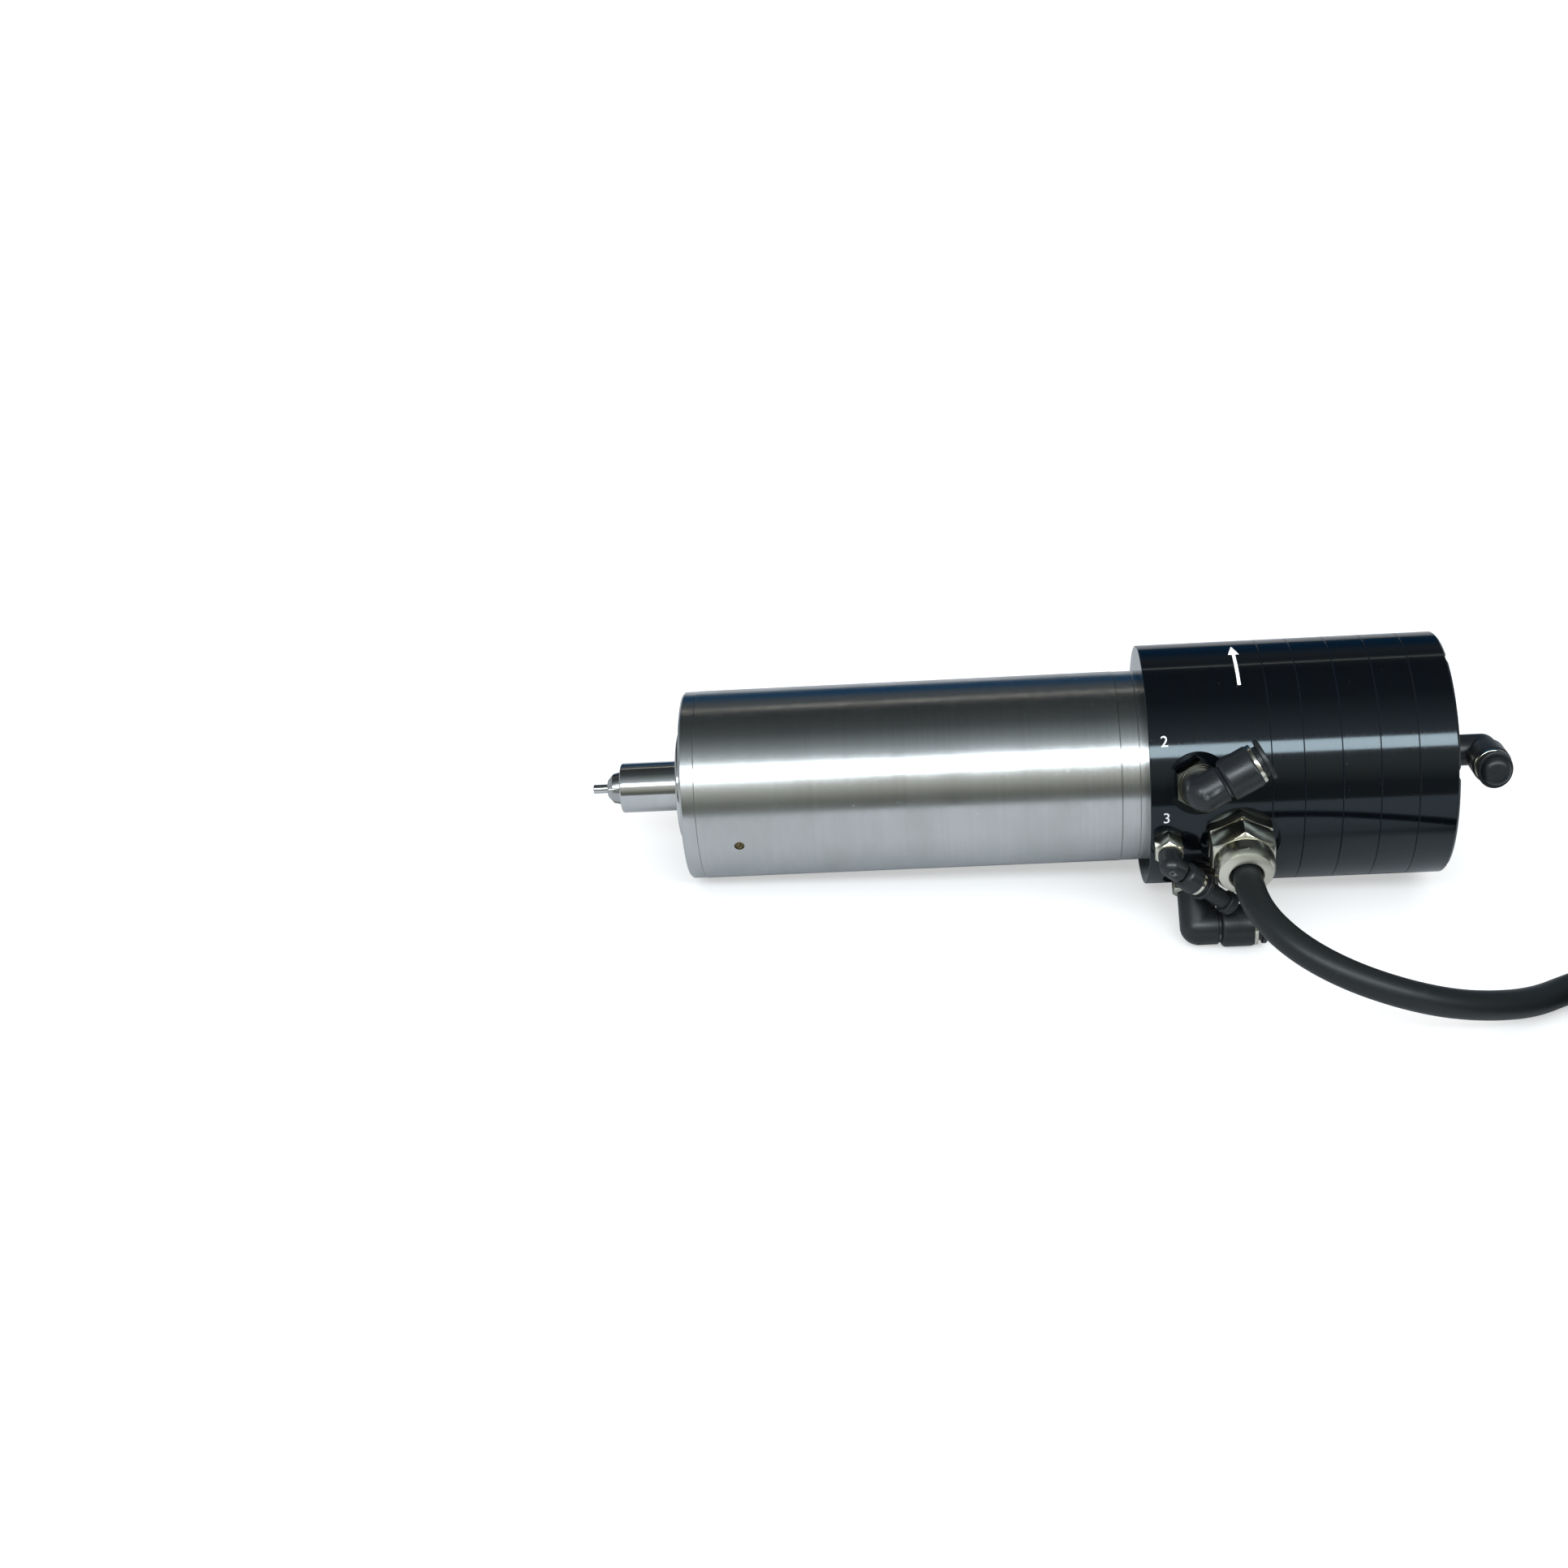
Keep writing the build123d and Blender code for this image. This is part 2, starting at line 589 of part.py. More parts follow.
def manifold_block():
    hole_r, spring_bore_r = JOURNAL_R + 1.5, SPRING_POCKET_R + 2
    block = turned((SLEEVE_REAR_X, hole_r), (SPRING_SHOULDER_X, hole_r),
                   (SPRING_SHOULDER_X, spring_bore_r), (MANIFOLD_LENGTH, spring_bore_r),
                   (MANIFOLD_LENGTH, CYLINDER_R - STACK_CHAMFER),
                   (MANIFOLD_LENGTH - STACK_CHAMFER, CYLINDER_R), (STACK_CHAMFER, CYLINDER_R),
                   (0, CYLINDER_R - STACK_CHAMFER), (0, HOUSING_R), (SLEEVE_REAR_X, HOUSING_R))
    duct_line_r, port_r = HOUSING_R - DUCT_INSET, COOLANT.tube_r - 1.5
    for elevation in (OUT_ELEVATION, IN_ELEVATION):
        block -= spotface(COOLANT_X, elevation, COOLANT.spot_r)
        block -= stud_hole(COOLANT_X, elevation, COOLANT)
        block -= radial(COOLANT_X, elevation) * upright(
            port_r, duct_line_r - port_r, seat_depth(COOLANT.spot_r))
        block -= radial(0, elevation) * Pos(SLEEVE_REAR_X - 1, 0, duct_line_r) * Rot(Y=90) * Cylinder(
            DUCT_R, COOLANT_X - SLEEVE_REAR_X + 1, align=FLUSH)
    block -= spotface(AIR_X, PORT_LINE, AIR.spot_r)
    block -= stud_hole(AIR_X, PORT_LINE, AIR)
    block -= spotface(GLAND_X, PORT_LINE, GLAND_SPOT_R)
    block -= radial(GLAND_X, PORT_LINE) * upright(
        GLAND_THREAD_R + SEAT_FIT, GLAND_PASSAGE_R, CYLINDER_R)
    return cut_ties(block)


def cylinder_base():
    x1 = BASE_X + BASE_LENGTH
    base = broken_tube(BASE_X, x1, ROD_R + SLIDE_FIT, CYLINDER_R)
    base -= tube(BASE_X - 1, BASE_X + SPRING_POCKET, ROD_R - 1, SPRING_POCKET_R)
    base -= spotface(GLAND_X, PORT_LINE, GLAND_SPOT_R)
    return cut_ties(base)


def seal_groove(x):
    return tube(x - 1, x + 2 * SEAL_SECTION, SEAL_LINE_R - SEAL_SECTION - 0.2,
                SEAL_LINE_R + SEAL_SECTION + 0.2)


def cylinder_rings():
    rings = []
    for x in STAGE_X:
        ring = turned((x, ROD_R + SLIDE_FIT), (x + DIVIDER_THICK, ROD_R + SLIDE_FIT),
                      (x + DIVIDER_THICK, BORE_R), (x + STAGE_LENGTH, BORE_R),
                      (x + STAGE_LENGTH, CYLINDER_R - STACK_CHAMFER),
                      (x + STAGE_LENGTH - STACK_CHAMFER, CYLINDER_R),
                      (x + STACK_CHAMFER, CYLINDER_R), (x, CYLINDER_R - STACK_CHAMFER))
        rings.append(cut_ties(ring - seal_groove(x)))
    return group(rings)


def rear_cap():
    cap = turned((CAP_X, 0), (CAP_X, CYLINDER_R - STACK_CHAMFER), (CAP_X + STACK_CHAMFER, CYLINDER_R),
                 (REAR_X - EDGE_CHAMFER, CYLINDER_R), (REAR_X, CYLINDER_R - EDGE_CHAMFER), (REAR_X, 0))
    cap -= rod(REAR_X - CLAMP_AIR.stud_length - STUD_RUNOUT, REAR_X + 1,
               CLAMP_AIR.stud_r + SEAT_FIT)
    cap -= rod(CAP_X - 1, REAR_X, AIR_DUCT_R)
    return cut_ties(cap - seal_groove(CAP_X))


def cylinder_seals():
    places = STAGE_X + [CAP_X]
    return group([tube(x, x + 2 * SEAL_SECTION, SEAL_LINE_R - SEAL_SECTION, SEAL_LINE_R + SEAL_SECTION)
                  for x in places])


def tie_bolts():
    return group([frame * socket_screw(TIE_BOLT_M, TIE_LENGTH - 0.3) for frame in tie_frames()])


def cover_screws():
    return group([frame * socket_screw(COVER_SCREW_M, COVER_SCREW_LENGTH - 0.3)
                  for frame in cover_screw_frames()])


PISTON_X = [x + STAGE_LENGTH - PISTON_REST_GAP - PISTON_THICK for x in STAGE_X]


def piston_rod():
    end = PISTON_X[-1] + PISTON_THICK
    x0, x1 = ROD_FLANGE_X
    return turned((ROD_NOSE_X, 0), (ROD_NOSE_X, ROD_R - 1.0), (ROD_NOSE_X + 0.6, ROD_R - 0.4),
                  (x0, ROD_R - 0.4), (x0, SPRING_POCKET_R - 1), (x1, SPRING_POCKET_R - 1),
                  (x1, ROD_R), (end, ROD_R), (end, 0))


def piston_discs():
    outer, groove = BORE_R - SLIDE_FIT, PISTON_GROOVE_R
    half = PISTON_SEAL / 2 + 0.1
    discs = []
    for x in PISTON_X:
        a, b = x + PISTON_THICK / 2 - half, x + PISTON_THICK / 2 + half
        discs.append(turned((x, ROD_R), (x + PISTON_THICK, ROD_R), (x + PISTON_THICK, outer),
                            (b, outer), (b, groove), (a, groove), (a, outer), (x, outer)))
    return group(discs)


def piston_seals():
    outer = BORE_R - SLIDE_FIT
    start = (PISTON_THICK - PISTON_SEAL) / 2
    return group([tube(x + start, x + start + PISTON_SEAL, PISTON_GROOVE_R, outer)
                  for x in PISTON_X])


def return_spring():
    wire = SPRING_WIRE
    mean = SPRING_POCKET_R - 1 - wire / 2
    x0, x1 = SPRING_SHOULDER_X + wire / 2 + 0.2, ROD_FLANGE_X[0] - wire / 2 - 0.2
    path = Helix(pitch=(x1 - x0) / SPRING_TURNS, height=x1 - x0, radius=mean)
    coil = sweep(Plane(path @ 0, z_dir=path % 0) * Rectangle(wire, wire), path=path, is_frenet=True)
    return Pos(x0, 0, 0) * Rot(Y=90) * coil


# ---------------------------------------------------------------- push-in fittings
def fitting_base(f):
    """Nickel stud: hexagon on the seat, thread below it, stem inside the elbow above it."""
    base = hexagon(f.flats, 0, f.hex_height) + upright(f.stud_r, -f.stud_length, 0.1)
    base += upright(f.stem_r, 0, f.stem_end)
    return base - upright(f.stem_r - STEM_WALL, -f.stud_length - 1, f.stem_end + 1)


def port_profile(f):
    """Port barrel about X at the arm height: seam groove, barrel, small end chamfer."""
    neck = f.elbow_r - 0.5
    return turned((f.seam - 0.5, 0), (f.seam - 0.5, neck), (f.seam + 0.4, neck),
                  (f.seam + 0.9, f.port_r - 0.25), (f.seam + 1.4, f.port_r),
                  (f.body_end - 1.0, f.port_r), (f.body_end, f.port_r - 0.35), (f.body_end, 0))


def elbow(f):
    lift = Pos(0, 0, f.arm_height)
    body = upright(f.elbow_r, f.skirt, f.arm_height) + lift * Sphere(f.elbow_r)
    body += lift * rod(0, f.seam - 0.4, f.elbow_r)
    body += lift * port_profile(f)
    body -= upright(f.stem_r + SLIDE_FIT, 0, f.stem_end + TURN_GAP)
    body -= upright(f.flow_r, 0, f.arm_height)
    body -= lift * rod(0, f.body_end, f.flow_r)
    body -= lift * rod(f.tube_seat, f.body_end, f.tube_r + SEAT_FIT)
    return body - lift * rod(f.collar_pocket, f.body_end + 1, f.collar_r + SLIDE_FIT)


def port_ring(f):
    """Bright retaining ring pressed on the end of the port."""
    return Pos(0, 0, f.arm_height) * turned(
        (f.body_end, f.collar_r + SLIDE_FIT), (f.ring_end, f.collar_r + SLIDE_FIT),
        (f.ring_end, f.port_r - 0.75), (f.ring_end - 0.3, f.port_r - 0.4),
        (f.body_end, f.port_r - 0.4))


def release_collar(f):
    """Sleeve that frees the tube when its oval flange is pressed towards the ring."""
    bore = f.tube_r + 2 * SEAT_FIT
    sleeve = tube(f.collar_start, f.flange_at + 0.1, bore, f.collar_r)
    oval = Pos(f.flange_at, 0, 0) * Rot(Y=90) * extrude(
        Ellipse(f.port_r * 0.9, f.port_r), COLLAR_FLANGE)
    return Pos(0, 0, f.arm_height) * (sleeve + (oval - rod(f.flange_at - 1, f.flange_at + 3, bore)))


def blanking_plug(f, grip, head_r, head):
    """Push-in blanking plug: shank in the port, grip, head."""
    start = f.seam + 1.0
    face = f.flange_at + COLLAR_FLANGE + 0.3
    shank = f.tube_r
    grip_r = min(f.tube_r + 0.9, head_r)
    outline = [(start, 0), (start, shank - 0.4), (start + 0.4, shank), (face, shank)]
    if grip > 0:
        outline += [(face, grip_r), (face + grip, grip_r)]
    outline += [(face + grip, head_r), (face + grip + head * 0.5, head_r),
                (face + grip + head, head_r * 0.55), (face + grip + head, 0)]
    return Pos(0, 0, f.arm_height) * turned(*outline)


def coolant_frame(elevation):
    return radial(COOLANT_X, elevation, seat_depth(COOLANT.spot_r))


def air_frame():
    return radial(AIR_X, PORT_LINE, seat_depth(AIR.spot_r))


def clamp_air_frame():
    return Pos(REAR_X, 0, 0) * Rot(Y=90)


def fitting_places():
    """Each fitting's name, sizes, seat frame and rest swivel about its stud."""
    return [
        ("coolant_out", COOLANT, coolant_frame(OUT_ELEVATION), COOLANT_OUT_SWIVEL),
        ("coolant_in", COOLANT, coolant_frame(IN_ELEVATION), COOLANT_IN_SWIVEL),
        ("seal_air", AIR, air_frame(), AIR_SWIVEL),
        ("clamp_air", CLAMP_AIR, clamp_air_frame(), -90 - CLAMP_AIR_ELEVATION),
    ]


# ---------------------------------------------------------------- cable gland
def gland_frame():
    return radial(GLAND_X, PORT_LINE, seat_depth(GLAND_SPOT_R))


def gland_body():
    body = hexagon(GLAND_FLATS, 0, GLAND_FLANGE, 0.5) + upright(GLAND_THREAD_R, -GLAND_THREAD, 0.1)
    body += upright(GLAND_NECK_R, GLAND_FLANGE - 0.1, GLAND_FLANGE + GLAND_NECK)
    return gland_frame() * (body - upright(CABLE_R + 0.8, -GLAND_THREAD - 1,
                                           GLAND_FLANGE + GLAND_NECK + 1))


def gland_dome_nut():
    z0 = GLAND_FLANGE + 0.2
    z1 = z0 + GLAND_NUT
    top = z1 + GLAND_DOME
    nut = hexagon(GLAND_FLATS, z0, z1, 0.9)
    dome_r = GLAND_DOME_R
    crest_r = dome_r - 2.6
    dome = revolve(make_face(Line((0, 0, z1 - 0.5), (dome_r, 0, z1 - 0.5))
                             + Line((dome_r, 0, z1 - 0.5), (dome_r, 0, top - 3.6))
                             + ThreePointArc((dome_r, 0, top - 3.6), (dome_r - 0.85, 0, top - 1.1),
                                             (crest_r, 0, top))
                             + Line((crest_r, 0, top), (0, 0, top))
                             + Line((0, 0, top), (0, 0, z1 - 0.5))), Axis.Z)
    nut = nut + dome
    nut -= upright(GLAND_NECK_R + SEAT_FIT, z0 - 1, GLAND_FLANGE + GLAND_NECK + 1)
    return gland_frame() * (nut - upright(GLAND_HOLE_R, z0, top + 1))


def gland_seal():
    """Rubber sleeve between the cable and the gland."""
    top = GLAND_FLANGE + 0.2 + GLAND_NUT + GLAND_DOME - 1.6
    lower = upright(CABLE_R + 0.75, 2, GLAND_FLANGE + GLAND_NECK + 0.5)
    upper = upright(GLAND_HOLE_R - SEAT_FIT, GLAND_FLANGE + GLAND_NECK, top)
    return gland_frame() * ((lower + upper) - upright(CABLE_R, 0, top + 1))


# ---------------------------------------------------------------- cable and connector
def lie_down():
    """Nose-down pose on the floor: nose rim and shoulder edge both touch Z = 0."""
    drop = CYLINDER_R * cos(LIE_ANGLE) - STACK_CHAMFER * sin(LIE_ANGLE)
    return Pos(0, 0, drop) * Rot(Y=-degrees(LIE_ANGLE))


def fillet_run(points):
    """Straight runs joined by the largest tangent arcs that the runs allow."""
    knots = [Vector(*p) for p in points]
    radii = []
    for before, at, after in zip(knots, knots[1:], knots[2:]):
        run = min((at - before).length, (after - at).length)
        turn = (at - before).get_angle(after - at)
        radii.append(0.45 * run / tan(radians(turn / 2)))
    return FilletPolyline(*knots, radius=radii), radii


def round_cable(points):
    path, radii = fillet_run(points)
    print("cable radii", [round(r) for r in radii], "length", round(path.length, 1))
    return sweep(Plane(path @ 0, z_dir=path % 0) * Circle(CABLE_R), path=path)


def coil_point(radius, angle, z):
    return (COIL_CENTRE[0] + radius * cos(radians(angle)),
            COIL_CENTRE[1] + radius * sin(radians(angle)), z)


def cable_points():
    """From inside the gland along its axis, over the floor, to the outermost turn."""
    straight = [tuple((lie_down() * gland_frame() * Pos(0, 0, GLAND_FLANGE + GLAND_NUT + lift)).position)
                for lift in CABLE_STRAIGHT]
    end = coil_point(COIL_ENTRY_R, COIL_ENTRY_ANGLE, CABLE_R)
    return straight + CABLE_ROUTE + [end]


def tail_points():
    return [coil_point(r, a, z) for r, a, z in zip(TAIL_RADII, TAIL_ANGLES, TAIL_HEIGHTS)]


def cable_coil():
    r0, r1 = COIL_R
    soft = 4.0
    section = Pos((r0 + r1) / 2, 0, COIL_HEIGHT / 2) * Rot(X=90) * RectangleRounded(
        r1 - r0, COIL_HEIGHT, soft)
    return Pos(*COIL_CENTRE, 0) * revolve(section, Axis.Z)


def coil_tie():
    """Strap round the turns of the coil."""
    r0, r1 = COIL_R
    wide, high = r1 - r0 + 2 * TIE_GAP, COIL_HEIGHT + TIE_GAP
    strap = Box(wide + 2 * TIE_THICK, TIE_WIDTH, high + TIE_THICK, align=FLUSH)
    strap -= Pos(0, 0, -1) * Box(wide, TIE_WIDTH + 1, high + 1, align=FLUSH)
    middle = (r0 + r1) / 2
    return Pos(*COIL_CENTRE, 0) * Rot(Z=TIE_ANGLE) * Pos(middle, 0, 0) * strap


def connector_frame():
    """Frame at the cable end: local Z points out along the connector."""
    last, before = Vector(*tail_points()[-1]), Vector(*tail_points()[-2])
    way = last - before
    way = Vector(way.X, way.Y, 0)
    return Plane(origin=last, z_dir=way).location


def connector_shell():
    """Tapered back end, barrel, grip and threaded spigot round the insert's bore."""
    hole, bore, step = CABLE_R + 0.1, CONNECTOR_BORE_R, 1.0
    barrel = CONNECTOR_BACK - 3 * step
    profile = [(hole, -CONNECTOR_BACK), (CONNECTOR_NECK_R, -CONNECTOR_BACK),
               (CONNECTOR_BARREL_R, -barrel), (CONNECTOR_BARREL_R, 0), (CONNECTOR_GRIP_R, step),
               (CONNECTOR_GRIP_R, CONNECTOR_GRIP), (CONNECTOR_THREAD_R, CONNECTOR_GRIP),
               (CONNECTOR_THREAD_R, CONNECTOR_LENGTH), (bore, CONNECTOR_LENGTH),
               (bore, 4 * step), (hole, 4 * step)]
    return connector_frame() * revolve(
        make_face(Polyline(*[(r, 0, z) for r, z in profile], close=True)), Axis.Z)


def connector_ring():
    """Threaded coupling ring that turns on the shell."""
    z0, z1 = CONNECTOR_GRIP + 0.2, CONNECTOR_LENGTH + COUPLING_REACH
    bore, edge, knurl_r = CONNECTOR_THREAD_R + SLIDE_FIT, 0.6, 0.9
    ring = revolve(make_face(Polyline(
        (bore, 0, z0), (COUPLING_R - edge, 0, z0), (COUPLING_R, 0, z0 + edge),
        (COUPLING_R, 0, z1 - edge), (COUPLING_R - edge, 0, z1), (bore, 0, z1), close=True)), Axis.Z)
    for k in range(KNURLS):
        ring -= Rot(Z=360 / KNURLS * k) * Pos(COUPLING_R + knurl_r / 2, 0, 0) * upright(knurl_r, z0, z1)
    return connector_frame() * ring


def connector_insert():
    """Insulating face with contact holes."""
    face = CONNECTOR_LENGTH - 0.5
    body = upright(CONNECTOR_BORE_R - SEAT_FIT, 6, face)
    for k in range(CONTACTS):
        body -= Rot(Z=360 / CONTACTS * (k + 0.5)) * Pos(CONTACT_PITCH_R, 0, 0) * upright(
            CONTACT_R, face - CONTACT_DEPTH, face + 1)
    return connector_frame() * body


# ---------------------------------------------------------------- assembly
def rigid_pieces():
    """Every piece in the spindle's own frame."""
    pieces = {
        "main_sleeve": main_sleeve(), "front_cover": front_cover(),
        "front_cover_screws": cover_screws(), "front_seal_ring": front_seal_ring(),
        "rear_collar_ring": rear_collar_ring(), "brass_set_screw": set_screw(),
        "red_port_plug": red_plug(), "front_bearing_housing": front_bearing_housing(),
        "rear_bearing_housing": rear_bearing_housing(), "water_jacket": water_jacket(),
        "stator_core": stator_core(), "stator_windings": stator_windings(),
        "bearing_outer_rings": bearing_outer_rings(), "bearing_inner_rings": bearing_inner_rings(),
        "front_ball_rows": group([ball_row(x) for x in bearing_places()[:2]]),
        "rear_ball_row": ball_row(bearing_places()[2]), "rotor_shaft": rotor_shaft(),
        "rotor_core": rotor_core(), "collet": collet(), "drawbar": drawbar(),
        "disc_springs": disc_springs(), "tool_pin": tool_pin(),
        "manifold_block": manifold_block(), "cylinder_base": cylinder_base(),
        "cylinder_rings": cylinder_rings(), "rear_cap": rear_cap(),
        "cylinder_seals": cylinder_seals(), "tie_bolts": tie_bolts(),
        "piston_rod": piston_rod(), "piston_discs": piston_discs(),
        "piston_seals": piston_seals(), "piston_return_spring": return_spring(),
        "gland_body": gland_body(), "gland_dome_nut": gland_dome_nut(),
        "gland_seal": gland_seal(),
    }
    for name, sizes, frame, swivel in fitting_places():
        turned_frame = frame * Rot(Z=swivel)
        pieces[name + "_base"] = frame * fitting_base(sizes)
        pieces[name + "_elbow"] = turned_frame * elbow(sizes)
        pieces[name + "_ring"] = turned_frame * port_ring(sizes)
        pieces[name + "_collar"] = turned_frame * release_collar(sizes)
        if name == "seal_air":
            pieces[name + "_plug"] = turned_frame * blanking_plug(sizes, 8.0, 3.8, 4.0)
        if name == "clamp_air":
            pieces[name + "_plug"] = turned_frame * blanking_plug(sizes, 0.0, 3.7, 2.4)
    return pieces


def cord_pieces():
    """The free cable with what is on it, already in the floor frame."""
    return {
        "cable": round_cable(cable_points()), "cable_coil": cable_coil(), "coil_tie": coil_tie(),
        "cable_tail": round_cable(tail_points()), "connector_shell": connector_shell(),
        "connector_ring": connector_ring(), "connector_insert": connector_insert(),
    }


def centring(pieces):
    """Shift that brings the middle of the spindle's own footprint to X = Y = 0."""
    box = Compound(list(pieces.values())).bounding_box()
    return Pos(-(box.min.X + box.max.X) / 2, -(box.min.Y + box.max.Y) / 2, 0)


def assembly():
    laid = {name: lie_down() * piece for name, piece in rigid_pieces().items()}
    shift = centring(laid)
    placed = {name: shift * piece for name, piece in laid.items()}
    placed.update({name: shift * piece for name, piece in cord_pieces().items()})
    return placed, shift


def main():
    os.makedirs("parts", exist_ok=True)
    placed, shift = assembly()
    print("shift", shift.position, "lowest", min(p.bounding_box().min.Z for p in placed.values()))
    for name, piece in placed.items():
        export_step(piece, f"parts/{name}.step")


if __name__ == "__main__":
    main()
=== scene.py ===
import json
from collections import namedtuple
from math import cos, pi, radians, sin, sqrt, tan

import bmesh
import bpy
from bpy.props import FloatProperty, FloatVectorProperty, IntProperty, PointerProperty
from mathutils import Matrix, Vector


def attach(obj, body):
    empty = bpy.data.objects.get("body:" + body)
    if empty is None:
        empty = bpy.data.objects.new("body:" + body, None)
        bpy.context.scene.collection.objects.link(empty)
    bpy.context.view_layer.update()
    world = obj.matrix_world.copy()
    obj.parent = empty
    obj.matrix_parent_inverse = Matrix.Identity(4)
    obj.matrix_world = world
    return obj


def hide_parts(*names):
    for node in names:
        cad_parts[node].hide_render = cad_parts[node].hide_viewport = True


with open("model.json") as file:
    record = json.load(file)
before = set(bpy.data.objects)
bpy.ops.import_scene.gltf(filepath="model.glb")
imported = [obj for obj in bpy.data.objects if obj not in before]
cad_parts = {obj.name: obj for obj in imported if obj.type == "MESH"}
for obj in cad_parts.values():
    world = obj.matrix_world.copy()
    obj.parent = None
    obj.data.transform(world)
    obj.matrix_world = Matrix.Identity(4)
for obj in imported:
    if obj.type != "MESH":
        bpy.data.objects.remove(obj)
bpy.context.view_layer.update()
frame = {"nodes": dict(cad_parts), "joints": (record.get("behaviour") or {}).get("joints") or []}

bl_info = {
    "name": "Motor Spindle",
    "version": (1, 0, 0),
    "blender": (4, 5, 0),
    "location": "View3D > Sidebar > Spindle",
    "description": "Dresses a water-cooled motor spindle with its fittings and lead",
    "category": "Object",
}

MM = 0.001
JOINTS = {joint["name"]: joint for joint in frame["joints"]}


# ---------------------------------------------------------------- places
def axes_frame(point, z_axis, x_axis):
    """Millimetre frame at a point, from its Z direction and its X direction."""
    z = Vector(z_axis).normalized()
    x = Vector(x_axis).normalized()
    turn = Matrix((x, z.cross(x), z)).transposed().to_4x4()
    return Matrix.Translation(point) @ turn @ Matrix.Scale(MM, 4)


NOSE = Vector(JOINTS["shaft_spin"]["axis"])
SPINDLE = axes_frame(JOINTS["shaft_spin"]["pos_m"], (-NOSE).cross(Vector((0, 1, 0))), -NOSE)
ALONG = Matrix.Rotation(pi / 2, 4, "Y")            # takes a turned piece's Z to local +X
STACK = SPINDLE @ ALONG                            # turned pieces of the spindle itself
PORT_LINE = -6.1                                   # elevation of gland, air port and set screw
PORT_SPREAD = 31.0                                 # from there to each coolant port
SEAT_SINK = 0.15                                   # extra depth of each milled seat


def radial(x, elevation, height=0.0):
    """Spindle frame on the outside: local Z outwards, local X along the axis."""
    return (Matrix.Translation((x, 0, 0)) @ Matrix.Rotation(radians(90 - elevation), 4, "X")
            @ Matrix.Translation((0, 0, height)))


def on_stack(matrix):
    """The same place, seen from the frame of the turned pieces."""
    return ALONG.inverted() @ matrix


def seat_depth(radius, spot_radius):
    """Distance from the axis to a flat seat milled into a cylinder."""
    return sqrt(radius ** 2 - spot_radius ** 2) - SEAT_SINK


# ---------------------------------------------------------------- sizes and colours
def length(name, millimetres, text):
    return FloatProperty(name=name, description=text, default=millimetres * MM,
                         unit="LENGTH", subtype="DISTANCE", precision=5)


def colour(name, rgb, text):
    return FloatVectorProperty(name=name, description=text, default=rgb, size=3, min=0, max=1,
                               subtype="COLOR")


class SpindleSizes(bpy.types.PropertyGroup):
    clamp_radius: length("Clamp radius", 31.0, "Radius of the ground clamping body")
    cylinder_radius: length("Cylinder radius", 39.0, "Radius of the release cylinder")
    joint_edge: length("Joint edge", 0.2, "Broken edge on both sides of each joint line")
    sleeve_edge: length("Sleeve edge", 0.15, "Broken edge at the ends of the steel sleeve")
    collet_slots: IntProperty(name="Collet slots", description="Saw cuts right across the collet",
                              default=3, min=2, max=6)
    cover_screws: IntProperty(name="Cover screws", description="Screws round the front cover",
                              default=6, min=3, max=12)
    tie_bolts: IntProperty(name="Tie bolts", description="Long bolts through the cylinder",
                           default=6, min=3, max=12)
    stages: IntProperty(name="Cylinder stages", description="Rings of the release cylinder",
                        default=3, min=1, max=5)


class FittingSizes(bpy.types.PropertyGroup):
    gate_mark: length("Gate mark", 0.8, "Radius of the moulding mark on each elbow")
    lip: length("Base lip", 0.5, "Width of the bright lip round the foot of each elbow")
    flange_flat: FloatProperty(name="Flange flat", default=0.9, min=0.7, max=1.0,
                               description="Height of the oval release flange over its width",
                               subtype="FACTOR")


class LeadSizes(bpy.types.PropertyGroup):
    diameter: length("Cable diameter", 9.2, "Outside diameter of the cable")
    whole_length: length("Cable length", 1725.0, "Cable from the gland to the connector")
    strap_width: length("Strap width", 12.0, "Width of the strap round the coil")
    strap_thickness: length("Strap thickness", 1.2, "Thickness of the strap")
    points_per_turn: IntProperty(name="Points per turn", default=16, min=12, max=32,
                                 description="Route points in each turn of the coil")


class FinishColours(bpy.types.PropertyGroup):
    ground_steel: colour("Ground steel", (0.60, 0.60, 0.595), "Cylindrically ground steel")
    anodised: colour("Anodised", (0.0016, 0.0022, 0.0032), "Black anodised aluminium")
    # Lighter film for the chamfers at the joints: a painted highlight standing for the bright joint
    # lines.
    worn_edge: colour("Edge highlight", (0.006, 0.007, 0.009), "Lighter film on the chamfers, a painted highlight")
    plastic: colour("Fitting plastic", (0.0095, 0.0105, 0.0120), "Grained black plastic")
    nickel: colour("Nickel", (0.74, 0.71, 0.61), "Nickel plated brass")
    brass: colour("Brass", (0.16, 0.125, 0.065), "Dulled brass")
    copper: colour("Copper", (0.60, 0.26, 0.12), "Lacquered copper")
    red: colour("Red plug", (0.45, 0.03, 0.02), "Moulded red plastic")
    jacket: colour("Cable jacket", (0.0080, 0.0095, 0.0100), "Black cable jacket")
    print_white: colour("Printed marks", (0.78, 0.79, 0.80), "Marks printed on the black film")


class StudioSizes(bpy.types.PropertyGroup):
    lens: FloatProperty(name="Lens", description="Focal length of the camera", default=52.587,
                        unit="CAMERA")
    floor_width: length("Floor width", 7000.0, "Width of the floor, and twice its reach behind")
    floor_front: length("Floor front", 520.0, "Reach of the floor towards the viewer")
    strip_power: FloatProperty(name="Strip light", description="Power of the front strip light",
                               default=13.0, min=0.0, unit="POWER")
    soft_power: FloatProperty(name="Soft light", description="Power of the large overhead light",
                              default=170.0, min=0.0, unit="POWER")


def toned(rgb, *factors):
    """Colour with its parts scaled, all by one factor or each by its own."""
    if len(factors) == 1:
        factors = factors * 3
    return [min(1.0, part * factor) for part, factor in zip(rgb, factors)]


